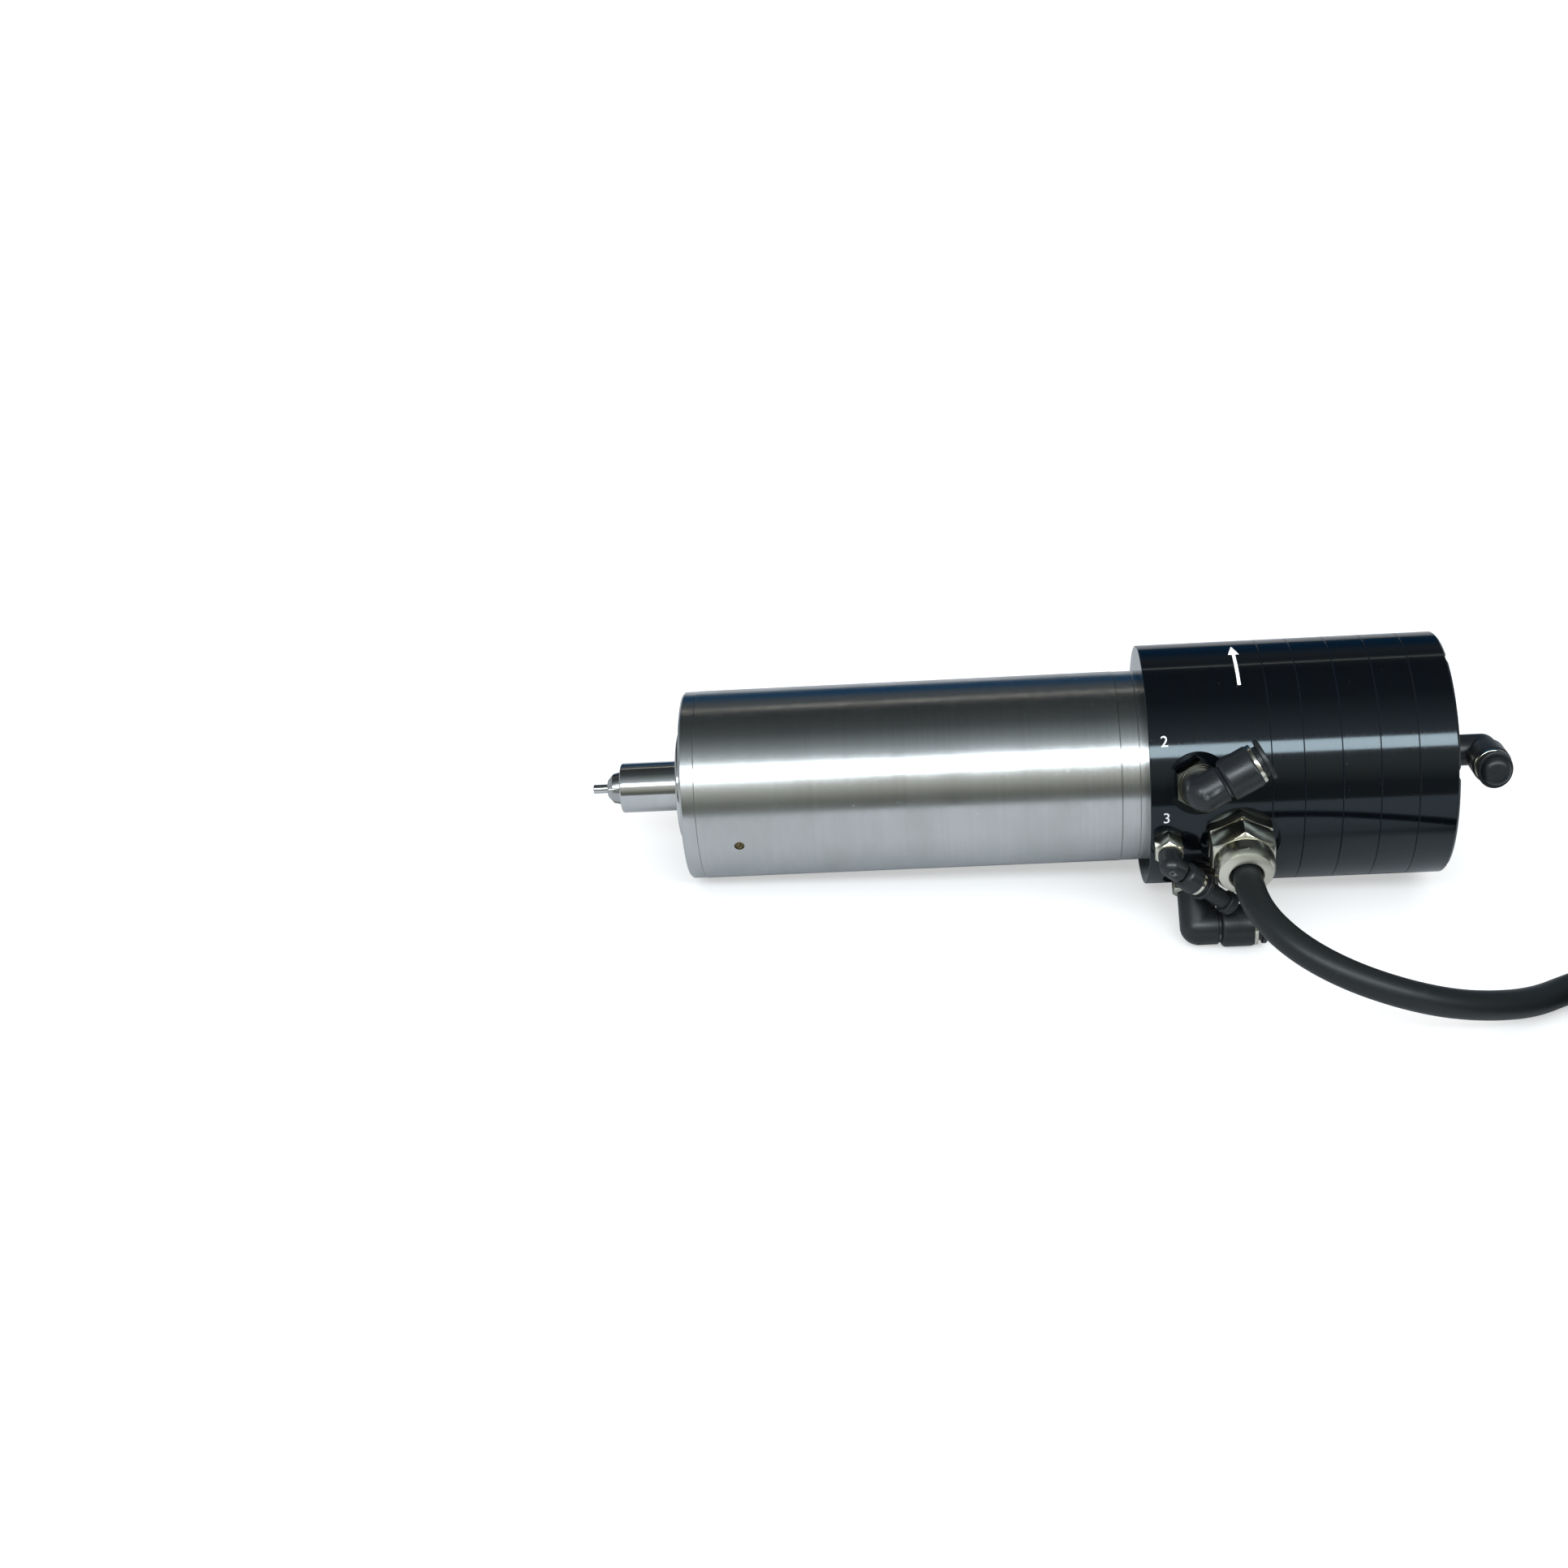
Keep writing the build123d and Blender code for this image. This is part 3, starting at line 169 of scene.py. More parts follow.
# ---------------------------------------------------------------- shader maths
class Value:
    """Output of a shader node that takes part in plain arithmetic."""

    def __init__(self, graph, socket):
        self.graph, self.socket = graph, socket

    def _math(self, operation, *values, **settings):
        return self.graph.node("ShaderNodeMath", {"operation": operation, **settings},
                               dict(enumerate(values)))

    def __add__(self, other):
        return self._math("ADD", self, other)

    def __sub__(self, other):
        return self._math("SUBTRACT", self, other)

    def __rsub__(self, other):
        return self._math("SUBTRACT", other, self)

    def __mul__(self, other):
        return self._math("MULTIPLY", self, other)

    def __truediv__(self, other):
        return self._math("DIVIDE", self, other)

    def __abs__(self):
        return self._math("ABSOLUTE", self)

    __radd__, __rmul__ = __add__, __mul__

    def ramp(self, low, high):
        """0 below low, 1 above high, straight between."""
        return self.graph.node("ShaderNodeMapRange", {"clamp": True},
                               {"Value": self, "From Min": low, "From Max": high})


class Graph:
    """Node tree of a material or world, with one way to make every node."""

    def __init__(self, tree):
        self.tree = tree
        tree.nodes.clear()

    def node(self, kind, settings=None, inputs=None, output=0):
        """A node: its own settings first, then values or links for its sockets."""
        node = self.tree.nodes.new(kind)
        for name, value in (settings or {}).items():
            if name == "stops":
                self._stops(node.color_ramp, value)
            else:
                setattr(node, name, value)
        for name, value in (inputs or {}).items():
            self.feed(node.inputs[name], value)
        return Value(self, node.outputs[output]) if node.outputs else node

    def feed(self, socket, value):
        if isinstance(value, Value):
            self.tree.links.new(value.socket, socket)
        elif socket.type == "RGBA" and len(value) == 3:
            socket.default_value = (*value, 1)
        else:
            socket.default_value = value

    @staticmethod
    def _stops(ramp, stops):
        while len(ramp.elements) < len(stops):
            ramp.elements.new(0.5)
        for element, (place, rgb) in zip(ramp.elements, stops):
            element.position = place
            element.color = (*rgb, 1)

    def parts(self, vector):
        """The three numbers of a vector."""
        split = self.node("ShaderNodeSeparateXYZ", {}, {0: vector}).socket.node
        return [Value(self, output) for output in split.outputs]

    def mix(self, factor, first, second):
        """Colour between two colours."""
        return self.node("ShaderNodeMix", {"data_type": "RGBA"},
                         {0: factor, 6: first, 7: second}, output=2)

    def noise(self, vector, scale, detail=2.0, rough=0.5):
        return self.node("ShaderNodeTexNoise", {}, {"Vector": vector, "Scale": scale,
                                                    "Detail": detail, "Roughness": rough})

    def stretched(self, vector, factors):
        """The same coordinates with each axis scaled."""
        return self.node("ShaderNodeVectorMath", {"operation": "MULTIPLY"},
                         {0: vector, 1: factors})

    def surface(self, **inputs):
        """Principled surface and output; names use underscores for spaces."""
        shader = self.node("ShaderNodeBsdfPrincipled", {},
                           {name.replace("_", " "): value for name, value in inputs.items()})
        self.node("ShaderNodeOutputMaterial", {}, {"Surface": shader})

    def bump(self, height, strength, distance):
        return self.node("ShaderNodeBump", {}, {"Height": height, "Strength": strength,
                                                "Distance": distance})


def material(name):
    made = bpy.data.materials.new(name)
    made.use_nodes = True
    return made, Graph(made.node_tree)


def object_coordinates(graph):
    return graph.node("ShaderNodeTexCoord", output=3)


def turned_coordinates(graph, place):
    """Object coordinates turned into a piece's own frame, Z along its turning axis, metres."""
    back = (place @ Matrix.Scale(1 / MM, 4)).inverted()
    return graph.node("ShaderNodeMapping", {"vector_type": "POINT"},
                      {"Vector": object_coordinates(graph), "Location": back.to_translation(),
                       "Rotation": back.to_euler()})


def ground_metal(name, rgb, roughness, place, lines=0.5, smudge=0.06, coarse=1.0):
    """Metal with fine lines round its axis, soft smudges and a few specks."""
    made, graph = material(name)
    spot = turned_coordinates(graph, place)
    fine = graph.noise(graph.stretched(spot, (14, 14, 3600 * coarse)), 1.0, 2.0)
    broad = graph.noise(graph.stretched(spot, (3, 3, 620 * coarse)), 1.0, 3.0)
    cloud = graph.noise(graph.stretched(spot, (26, 26, 60)), 1.0, 4.0, 0.6)
    speck = graph.noise(graph.stretched(spot, (1, 1, 0.6)), 900.0, 1.0).ramp(0.80, 0.84)
    lined = fine * 0.8 + broad * 0.2
    rough = roughness + (lined - 0.5) * 0.05 + (cloud - 0.5) * 2 * smudge + speck * 0.12
    tint = graph.mix(lined.ramp(0.25, 0.75), toned(rgb, 0.93), toned(rgb, 1.05))
    tint = graph.mix(cloud.ramp(0.35, 0.75) * 0.8, tint, toned(rgb, 0.80, 0.805, 0.78))
    graph.surface(Base_Color=tint, Metallic=1.0, Roughness=rough,
                  Normal=graph.bump(lined, lines, 0.00002))
    return made


def faced_metal(name, rgb, roughness, place):
    """Metal with the fine rings that facing on a lathe leaves."""
    made, graph = material(name)
    spot = turned_coordinates(graph, place)
    flat = graph.node("ShaderNodeVectorMath", {"operation": "LENGTH"},
                      {0: graph.stretched(spot, (1, 1, 0))}, output=1)
    rings = graph.node("ShaderNodeTexNoise", {"noise_dimensions": "1D"},
                       {"W": flat, "Scale": 2600.0, "Detail": 2.0})
    cloud = graph.noise(spot, 70.0, 3.0, 0.6)
    rough = roughness + (rings - 0.5) * 0.2 + (cloud - 0.5) * 0.1
    graph.surface(Base_Color=graph.mix(rings.ramp(0.3, 0.7), toned(rgb, 0.9), rgb),
                  Metallic=1.0, Roughness=rough, Normal=graph.bump(rings, 0.35, 0.00002))
    return made


def anodised_metal(name, rgb, roughness, place):
    """Glossy dyed film over turned aluminium, with a painted sheen of colour along the lines."""
    made, graph = material(name)
    spot = turned_coordinates(graph, place)
    fine = graph.noise(graph.stretched(spot, (8, 8, 2400)), 1.0, 2.0)
    broad = graph.noise(graph.stretched(spot, (2, 2, 240)), 1.0, 2.0)
    cloud = graph.noise(spot, 40.0, 3.0, 0.6)
    dust = graph.noise(spot, 1300.0, 1.0).ramp(0.81, 0.84)
    # Base colour turning from bluish to warm along the lines: a painted sheen.
    painted_sheen = graph.node("ShaderNodeValToRGB", {"stops": (
        (0.30, toned(rgb, 0.80, 0.92, 1.25)),
        (0.50, rgb),
        (0.70, toned(rgb, 1.22, 1.02, 0.90)))}, {"Fac": broad})
    tint = graph.mix(dust * 0.25, painted_sheen, (0.20, 0.20, 0.20))
    rough = roughness + (fine - 0.5) * 0.10 + (cloud - 0.5) * 0.08 + dust * 0.25
    graph.surface(Base_Color=tint, Roughness=rough, IOR=1.5, Specular_Tint=(0.80, 0.93, 1.0),
                  Normal=graph.bump(fine, 0.10, 0.00002))
    return made


def grained_plastic(name, rgb, roughness=0.36, grain=1.0, grain_size=0.00034):
    """Moulded plastic with a fine spark-eroded grain and slight handling marks."""
    made, graph = material(name)
    spot = object_coordinates(graph)
    grains = graph.noise(spot, 1 / grain_size, 2.0, 0.6)
    cloud = graph.noise(spot, 120.0, 2.0)
    rubbed = cloud.ramp(0.45, 0.75)
    tint = graph.mix(grains.ramp(0.35, 0.7), toned(rgb, 0.75), toned(rgb, 1.35))
    rough = roughness + (grains - 0.5) * 0.25 - rubbed * 0.06
    graph.surface(Base_Color=tint, Roughness=rough, IOR=1.5,
                  Normal=graph.bump(grains, 0.32 * grain, 0.00006))
    return made


def plated_metal(name, rgb, roughness, stain=0.5, grain=0.12):
    """Plating with cloudy tone, slight stains and a hint of the turned surface below."""
    made, graph = material(name)
    spot = object_coordinates(graph)
    cloud = graph.noise(spot, 160.0, 3.0, 0.6)
    fine = graph.noise(spot, 1500.0, 2.0)
    yellow = graph.mix(cloud.ramp(0.4, 0.75) * stain, rgb, toned(rgb, 0.92, 0.90, 0.72))
    rough = roughness + (cloud - 0.5) * 0.12 + (fine - 0.5) * 0.06
    graph.surface(Base_Color=yellow, Metallic=1.0, Roughness=rough,
                  Normal=graph.bump(fine, grain, 0.00002))
    return made


def jacket_rubber(name, rgb, roughness=0.42):
    """Cable jacket: satin, finely pitted, with dusty rub marks."""
    made, graph = material(name)
    spot = object_coordinates(graph)
    pits = graph.noise(spot, 2200.0, 2.0)
    wave = graph.noise(spot, 26.0, 2.0)
    rubs = graph.noise(graph.stretched(spot, (60, 190, 190)), 1.0, 4.0, 0.7).ramp(0.62, 0.78)
    tint = graph.mix(rubs * 0.30, rgb, toned(rgb, 3.2))
    rough = roughness + (pits - 0.5) * 0.12 + (wave - 0.5) * 0.14 + rubs * 0.12
    graph.surface(Base_Color=tint, Roughness=rough, Specular_IOR_Level=0.36,
                  Normal=graph.bump(pits + wave * 0.8, 0.2, 0.00006))
    return made


def woven_strap(name, rgb):
    """Dense woven tape: two crossing sets of threads."""
    made, graph = material(name)
    spot = object_coordinates(graph)
    warp = graph.node("ShaderNodeTexWave", {"bands_direction": "DIAGONAL"},
                      {"Vector": spot, "Scale": 330.0, "Distortion": 1.0, "Detail": 1.0}, output=1)
    weft = graph.node("ShaderNodeTexWave", {"bands_direction": "Z"},
                      {"Vector": spot, "Scale": 420.0, "Distortion": 1.0, "Detail": 1.0}, output=1)
    threads = warp * 0.5 + weft * 0.5
    graph.surface(Base_Color=graph.mix(threads, toned(rgb, 0.5), toned(rgb, 1.6)),
                  Roughness=0.85 - threads * 0.1, Normal=graph.bump(threads, 0.6, 0.0002))
    return made


def printed_mark(name, rgb):
    """Slightly uneven white print."""
    made, graph = material(name)
    spot = object_coordinates(graph)
    thin = graph.noise(spot, 1800.0, 3.0, 0.65).ramp(0.25, 0.45)
    graph.surface(Base_Color=graph.mix(thin, toned(rgb, 0.72), rgb),
                  Roughness=0.5 + thin * 0.05, Specular_IOR_Level=0.3)
    return made


def cast_metal(name, rgb, roughness, scale=900.0):
    """Plain worked metal of inner pieces."""
    made, graph = material(name)
    grains = graph.noise(object_coordinates(graph), scale, 3.0, 0.6)
    graph.surface(Base_Color=graph.mix(grains, toned(rgb, 0.75), toned(rgb, 1.2)),
                  Metallic=1.0, Roughness=roughness + (grains - 0.5) * 0.2,
                  Normal=graph.bump(grains, 0.2, 0.00004))
    return made


FINISHES = {}


def make_finishes(tints):
    steel, nickel = tuple(tints.ground_steel), tuple(tints.nickel)
    plastic, film = tuple(tints.plastic), tuple(tints.anodised)
    FINISHES.update(
        sleeve_steel=ground_metal("Ground sleeve steel", steel, 0.22, STACK, lines=0.15, smudge=0.10),
        cover_steel=faced_metal("Faced cover steel", toned(steel, 0.98), 0.30, STACK),
        seal_steel=ground_metal("Polished seal steel", toned(steel, 1.15), 0.07, STACK,
                                lines=0.1, smudge=0.02),
        shaft_steel=ground_metal("Ground shaft steel", toned(steel, 1.1), 0.13, STACK,
                                 lines=0.3, smudge=0.04, coarse=1.4),
        collet_steel=ground_metal("Ground collet steel", toned(steel, 0.85), 0.25, STACK,
                                  lines=0.3, smudge=0.03),
        black_film=anodised_metal("Black anodised film", film, 0.10, STACK),
        # Chamfer film, lighter than the faces: painted highlight.
        worn_edge=anodised_metal("Painted highlight on edges", tuple(tints.worn_edge), 0.25, STACK),
        fitting_plastic=grained_plastic("Grained black plastic", plastic),
        collar_plastic=grained_plastic("Smooth black plastic", plastic, 0.40, grain=0.4),
        nickel=plated_metal("Polished nickel", nickel, 0.23),
        # Nickel darkened to a sixth: painted shade on the coolant-out base, which lies dark under its
        # elbow.
        base_nickel=plated_metal("Nickel with painted shade", toned(nickel, 0.16), 0.2, stain=0.3),
        satin_nickel=plated_metal("Satin nickel", toned(nickel, 1.02), 0.38, stain=0.2, grain=0.3),
        ring_nickel=plated_metal("Bright port ring", toned(nickel, 1.1), 0.16, stain=0.25),
        dark_screw=cast_metal("Blackened screw steel", (0.14, 0.14, 0.145), 0.34),
        brass=plated_metal("Dulled brass", tuple(tints.brass), 0.42, stain=0.8, grain=0.4),
        red_plastic=grained_plastic("Red plug plastic", tuple(tints.red), 0.4, grain=0.5),
        jacket=jacket_rubber("Cable jacket", tuple(tints.jacket)),
        seal_rubber=jacket_rubber("Seal rubber", (0.025, 0.025, 0.026), 0.6),
        strap=woven_strap("Woven strap", (0.04, 0.04, 0.045)),
        print_white=printed_mark("White print", tuple(tints.print_white)),
        copper=plated_metal("Lacquered copper", tuple(tints.copper), 0.3, stain=0.5, grain=0.5),
        core_iron=cast_metal("Laminated core", (0.22, 0.22, 0.23), 0.45, scale=2500.0),
        raw_aluminium=cast_metal("Turned aluminium", (0.70, 0.71, 0.73), 0.32),
        inner_steel=cast_metal("Turned inner steel", (0.48, 0.48, 0.49), 0.30),
        contact_plastic=grained_plastic("Contact carrier", (0.10, 0.10, 0.105), 0.5, grain=0.6),
    )


# ---------------------------------------------------------------- mesh work, in millimetres
def softened(outline, steps=4):
    """Outline whose corners with a third value, a radius, become short arcs."""
    points = []
    for index, corner in enumerate(outline):
        if len(corner) == 2:
            points.append(corner)
            continue
        here, radius = Vector(corner[:2]), corner[2]
        before = (Vector(outline[index - 1][:2]) - here).normalized()
        after = (Vector(outline[(index + 1) % len(outline)][:2]) - here).normalized()
        half = before.angle(after) / 2
        centre = here + (before + after).normalized() * (radius / sin(half))
        reach = radius / tan(half)
        start, end = here + before * reach - centre, here + after * reach - centre
        for k in range(steps + 1):
            points.append(tuple(centre + start.lerp(end, k / steps).normalized() * radius))
    return points


def lathe(outline, steps=96, oval=None):
    """Closed mesh turned about Z from (height, radius) points. oval = (radius, factor) flattens
    what lies further out than that radius along local X."""
    shape = bmesh.new()
    rings = []
    for height, radius in softened(outline):
        flat = oval[1] if oval and radius > oval[0] else 1.0
        count = 1 if radius < 1e-6 else steps
        rings.append([shape.verts.new((radius * flat * cos(2 * pi * k / steps),
                                       radius * sin(2 * pi * k / steps), height))
                      for k in range(count)])
    for a, b in zip(rings, rings[1:] + rings[:1]):
        if len(a) == len(b) == 1:
            continue
        for k in range(steps):
            n = (k + 1) % steps
            if len(a) == 1:
                shape.faces.new((a[0], b[n], b[k]))
            elif len(b) == 1:
                shape.faces.new((a[k], a[n], b[0]))
            else:
                shape.faces.new((a[k], a[n], b[n], b[k]))
    return as_mesh(shape)


def as_mesh(shape):
    bmesh.ops.recalc_face_normals(shape, faces=shape.faces)
    mesh = bpy.data.meshes.new("work")
    shape.to_mesh(mesh)
    shape.free()
    return mesh


def box(x0, x1, y0, y1, z0, z1):
    shape = bmesh.new()
    bmesh.ops.create_cube(shape, size=1.0)
    for vertex in shape.verts:
        vertex.co = ((x0 + x1) / 2 + vertex.co.x * (x1 - x0), (y0 + y1) / 2 + vertex.co.y * (y1 - y0),
                     (z0 + z1) / 2 + vertex.co.z * (z1 - z0))
    return as_mesh(shape)


def moved(mesh, matrix):
    mesh.transform(matrix)
    return mesh


def rod(z0, z1, radius, steps=64):
    return lathe([(z0, 0), (z0, radius), (z1, radius), (z1, 0)], steps)


def evaluated(item):
    """Plain mesh of an object with its modifiers applied; the object is removed."""
    depsgraph = bpy.context.evaluated_depsgraph_get()
    mesh = bpy.data.meshes.new_from_object(item.evaluated_get(depsgraph))
    bpy.data.objects.remove(item)
    return mesh


def worker(data):
    """Passing object that holds a mesh or a curve."""
    item = bpy.data.objects.new("work", data)
    bpy.context.scene.collection.objects.link(item)
    return item


def combined(mesh, others, operation="DIFFERENCE"):
    """Mesh after one exact boolean with each of the others."""
    body = worker(mesh)
    tools = [worker(other) for other in others]
    for tool in tools:
        step = body.modifiers.new("Cut", "BOOLEAN")
        step.object, step.operation, step.solver = tool, operation, "EXACT"
    result = evaluated(body)
    for tool in tools:
        bpy.data.objects.remove(tool)
    return result


def bevelled(mesh, width, angle=28.0, segments=2):
    """Mesh with its sharp edges rounded by a small width."""
    body = worker(mesh)
    step = body.modifiers.new("Edges", "BEVEL")
    step.width, step.segments, step.limit_method = width, segments, "ANGLE"
    step.angle_limit, step.harden_normals = radians(angle), False
    return evaluated(body)


def hexagon(flats, z0, z1, chamfer=0.9, top=True):
    """Hexagon bar along Z with turned rims and fine edges, corners towards +Y and -Y."""
    corner, rim = flats / sqrt(3), flats / 2 - 0.1
    shape = bmesh.new()
    ends = [[shape.verts.new((corner * cos(radians(30 + 60 * k)), corner * sin(radians(30 + 60 * k)), z))
             for k in range(6)] for z in (z0, z1)]
    shape.faces.new(ends[0])
    shape.faces.new(ends[1])
    for k in range(6):
        shape.faces.new((ends[0][k], ends[0][(k + 1) % 6], ends[1][(k + 1) % 6], ends[1][k]))
    bar = as_mesh(shape)
    low = chamfer * 0.5
    blank = lathe([(z0, 0), (z0, rim), (z0 + low, corner + 0.05), (z1 - chamfer, corner + 0.05),
                   (z1, rim), (z1, 0)], 96)
    return bevelled(combined(bar, [blank], "INTERSECT"), 0.16, 20.0)


def round_normals(mesh):
    """Exact normals on the round and flat faces of a piece turned about Z."""
    normals = [Vector(corner.vector) for corner in mesh.corner_normals]
    for face in mesh.polygons:
        n = face.normal
        if abs(n.z) > 0.9995:
            for loop in face.loop_indices:
                normals[loop] = n.copy()
        elif abs(n.z) < 0.02:
            out = Vector((face.center.x, face.center.y, 0))
            if out.length > 1e-6 and abs(out.normalized().dot(n)) > 0.996:
                way = 1 if out.dot(n) > 0 else -1
                for loop in face.loop_indices:
                    corner = mesh.vertices[mesh.loops[loop].vertex_index].co
                    normals[loop] = Vector((corner.x, corner.y, 0)).normalized() * way
    mesh.normals_split_custom_set(normals)


def on_edge(face, radius):
    """Whether a face belongs to a small chamfer near a turned radius."""
    out = Vector((face.center.x, face.center.y)).length
    return 0.3 < abs(face.normal.z) < 0.95 and abs(out - radius) < 1.0


def paint_faces(mesh, finish, wanted):
    """Second finish, on the faces that a test picks."""
    mesh.materials.append(FINISHES[finish])
    for face in mesh.polygons:
        if wanted(face):
            face.material_index = 1


def piece(name, mesh, place, finish, body, slot, *nodes, smooth=32.0, turned=False, edges=None):
    """Finished object: mesh placed, shaded, painted, riding on its body."""
    name = name.replace(" ", "_")
    mesh.name = name
    mesh.materials.clear()
    mesh.materials.append(FINISHES[finish])
    if edges:
        radius, edge_finish = edges
        paint_faces(mesh, edge_finish, lambda face: on_edge(face, radius))
    mesh.shade_smooth()
    mesh.set_sharp_from_angle(angle=radians(smooth))
    if turned:
        round_normals(mesh)
    mesh.transform(place)
    made = bpy.data.objects.new(name, mesh)
    bpy.context.scene.collection.objects.link(made)
    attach(made, body)
    if nodes:
        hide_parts(*nodes)
    return made


def merged_copy(node):
    """Mesh of a CAD node with its loose triangles joined, in metres."""
    shape = bmesh.new()
    shape.from_mesh(frame["nodes"][node].data)
    bmesh.ops.remove_doubles(shape, verts=shape.verts, dist=1e-6)
    mesh = bpy.data.meshes.new(node)
    shape.to_mesh(mesh)
    shape.free()
    return mesh


def dressed(node, finish, body, slot, smooth=32.0):
    """CAD node shown through a joined copy of itself."""
    return piece(node + "_dressed", merged_copy(node), Matrix(), finish, body, slot, node,
                 smooth=smooth)


# ---------------------------------------------------------------- repeating tree
def repeat_tree():
    """Geometry Nodes: copies of the incoming mesh, each turned and moved on from the last."""
    tree = bpy.data.node_groups.new("Repeat piece", "GeometryNodeTree")
    sides = tree.interface
    sides.new_socket("Geometry", in_out="INPUT", socket_type="NodeSocketGeometry")
    for name, kind in (("Count", "NodeSocketInt"), ("Step", "NodeSocketVector"),
                       ("Turn", "NodeSocketFloat"), ("Finish", "NodeSocketMaterial")):
        sides.new_socket(name, in_out="INPUT", socket_type=kind)
    sides.new_socket("Geometry", in_out="OUTPUT", socket_type="NodeSocketGeometry")
    nodes, links = tree.nodes, tree.links
    start, end = nodes.new("NodeGroupInput"), nodes.new("NodeGroupOutput")
    index = nodes.new("GeometryNodeInputIndex")
    points, scatter = nodes.new("GeometryNodePoints"), nodes.new("GeometryNodeInstanceOnPoints")
    step, turn = nodes.new("ShaderNodeVectorMath"), nodes.new("ShaderNodeMath")
    step.operation, turn.operation = "SCALE", "MULTIPLY"
    about = nodes.new("ShaderNodeCombineXYZ")
    solid, paint = nodes.new("GeometryNodeRealizeInstances"), nodes.new("GeometryNodeSetMaterial")
    for source, target in (
            (start.outputs["Count"], points.inputs["Count"]),
            (start.outputs["Step"], step.inputs[0]), (index.outputs[0], step.inputs["Scale"]),
            (step.outputs[0], points.inputs["Position"]),
            (start.outputs["Turn"], turn.inputs[0]), (index.outputs[0], turn.inputs[1]),
            (turn.outputs[0], about.inputs["Z"]), (points.outputs[0], scatter.inputs["Points"]),
            (start.outputs["Geometry"], scatter.inputs["Instance"]),
            (about.outputs[0], scatter.inputs["Rotation"]), (scatter.outputs[0], solid.inputs[0]),
            (solid.outputs[0], paint.inputs["Geometry"]),
            (start.outputs["Finish"], paint.inputs["Material"]), (paint.outputs[0], end.inputs[0])):
        links.new(source, target)
    return tree


def repeated(mesh, finish, count, step=(0.0, 0.0, 0.0), turn=0.0):
    """Plain mesh of copies made by the repeating tree."""
    tree = bpy.data.node_groups.get("Repeat piece") or repeat_tree()
    body = worker(mesh)
    maker = body.modifiers.new("Repeat", "NODES")
    maker.node_group = tree
    sockets = {item.name: item.identifier for item in tree.interface.items_tree
               if item.in_out == "INPUT"}
    for name, value in (("Count", count), ("Step", step), ("Turn", turn),
                        ("Finish", FINISHES[finish])):
        maker[sockets[name]] = value
    return evaluated(body)


# ---------------------------------------------------------------- studio
AIM = Vector((0.03, 0.0, 0.045))                   # lights point at the middle of the spindle
LIGHTS = (                                         # elevation, distance, size, share, tint
    ("Front strip", 46.0, 1.0, (1.9, 0.19), 1.0, (0.86, 0.95, 1.0)),
    ("Back strip", 137.0, 1.1, (1.7, 0.025), 0.015, (1.0, 0.95, 0.86)),
)
FLOOR_SEEN, FLOOR_MIRRORED = (0.92, 0.92, 0.92), (0.37, 0.385, 0.405)
ROOM_TONES = (                                     # from the viewer's horizon over the top to the far one
    (0.00, (0.13, 0.14, 0.13)), (0.05, (0.13, 0.14, 0.125)), (0.10, (0.32, 0.33, 0.29)),
    (0.16, (0.50, 0.51, 0.47)), (0.32, (0.45, 0.50, 0.54)), (0.42, (0.21, 0.25, 0.26)),
    (0.52, (0.07, 0.08, 0.085)), (0.70, (0.035, 0.04, 0.042)), (0.84, (0.085, 0.10, 0.11)),
    (0.91, (0.005, 0.05, 0.12)), (1.00, (0.005, 0.05, 0.12)))
ROOM_REAR_END, ROOM_NOSE_END = (0.05, 0.055, 0.06), (0.42, 0.46, 0.50)
CAMERA_AT = (-0.05327, -0.61285, 0.4685)
CAMERA_RIGHT = (0.99916, 0.03340, -0.02410)
CAMERA_DOWN = (-0.0005, -0.5755, -0.8178)


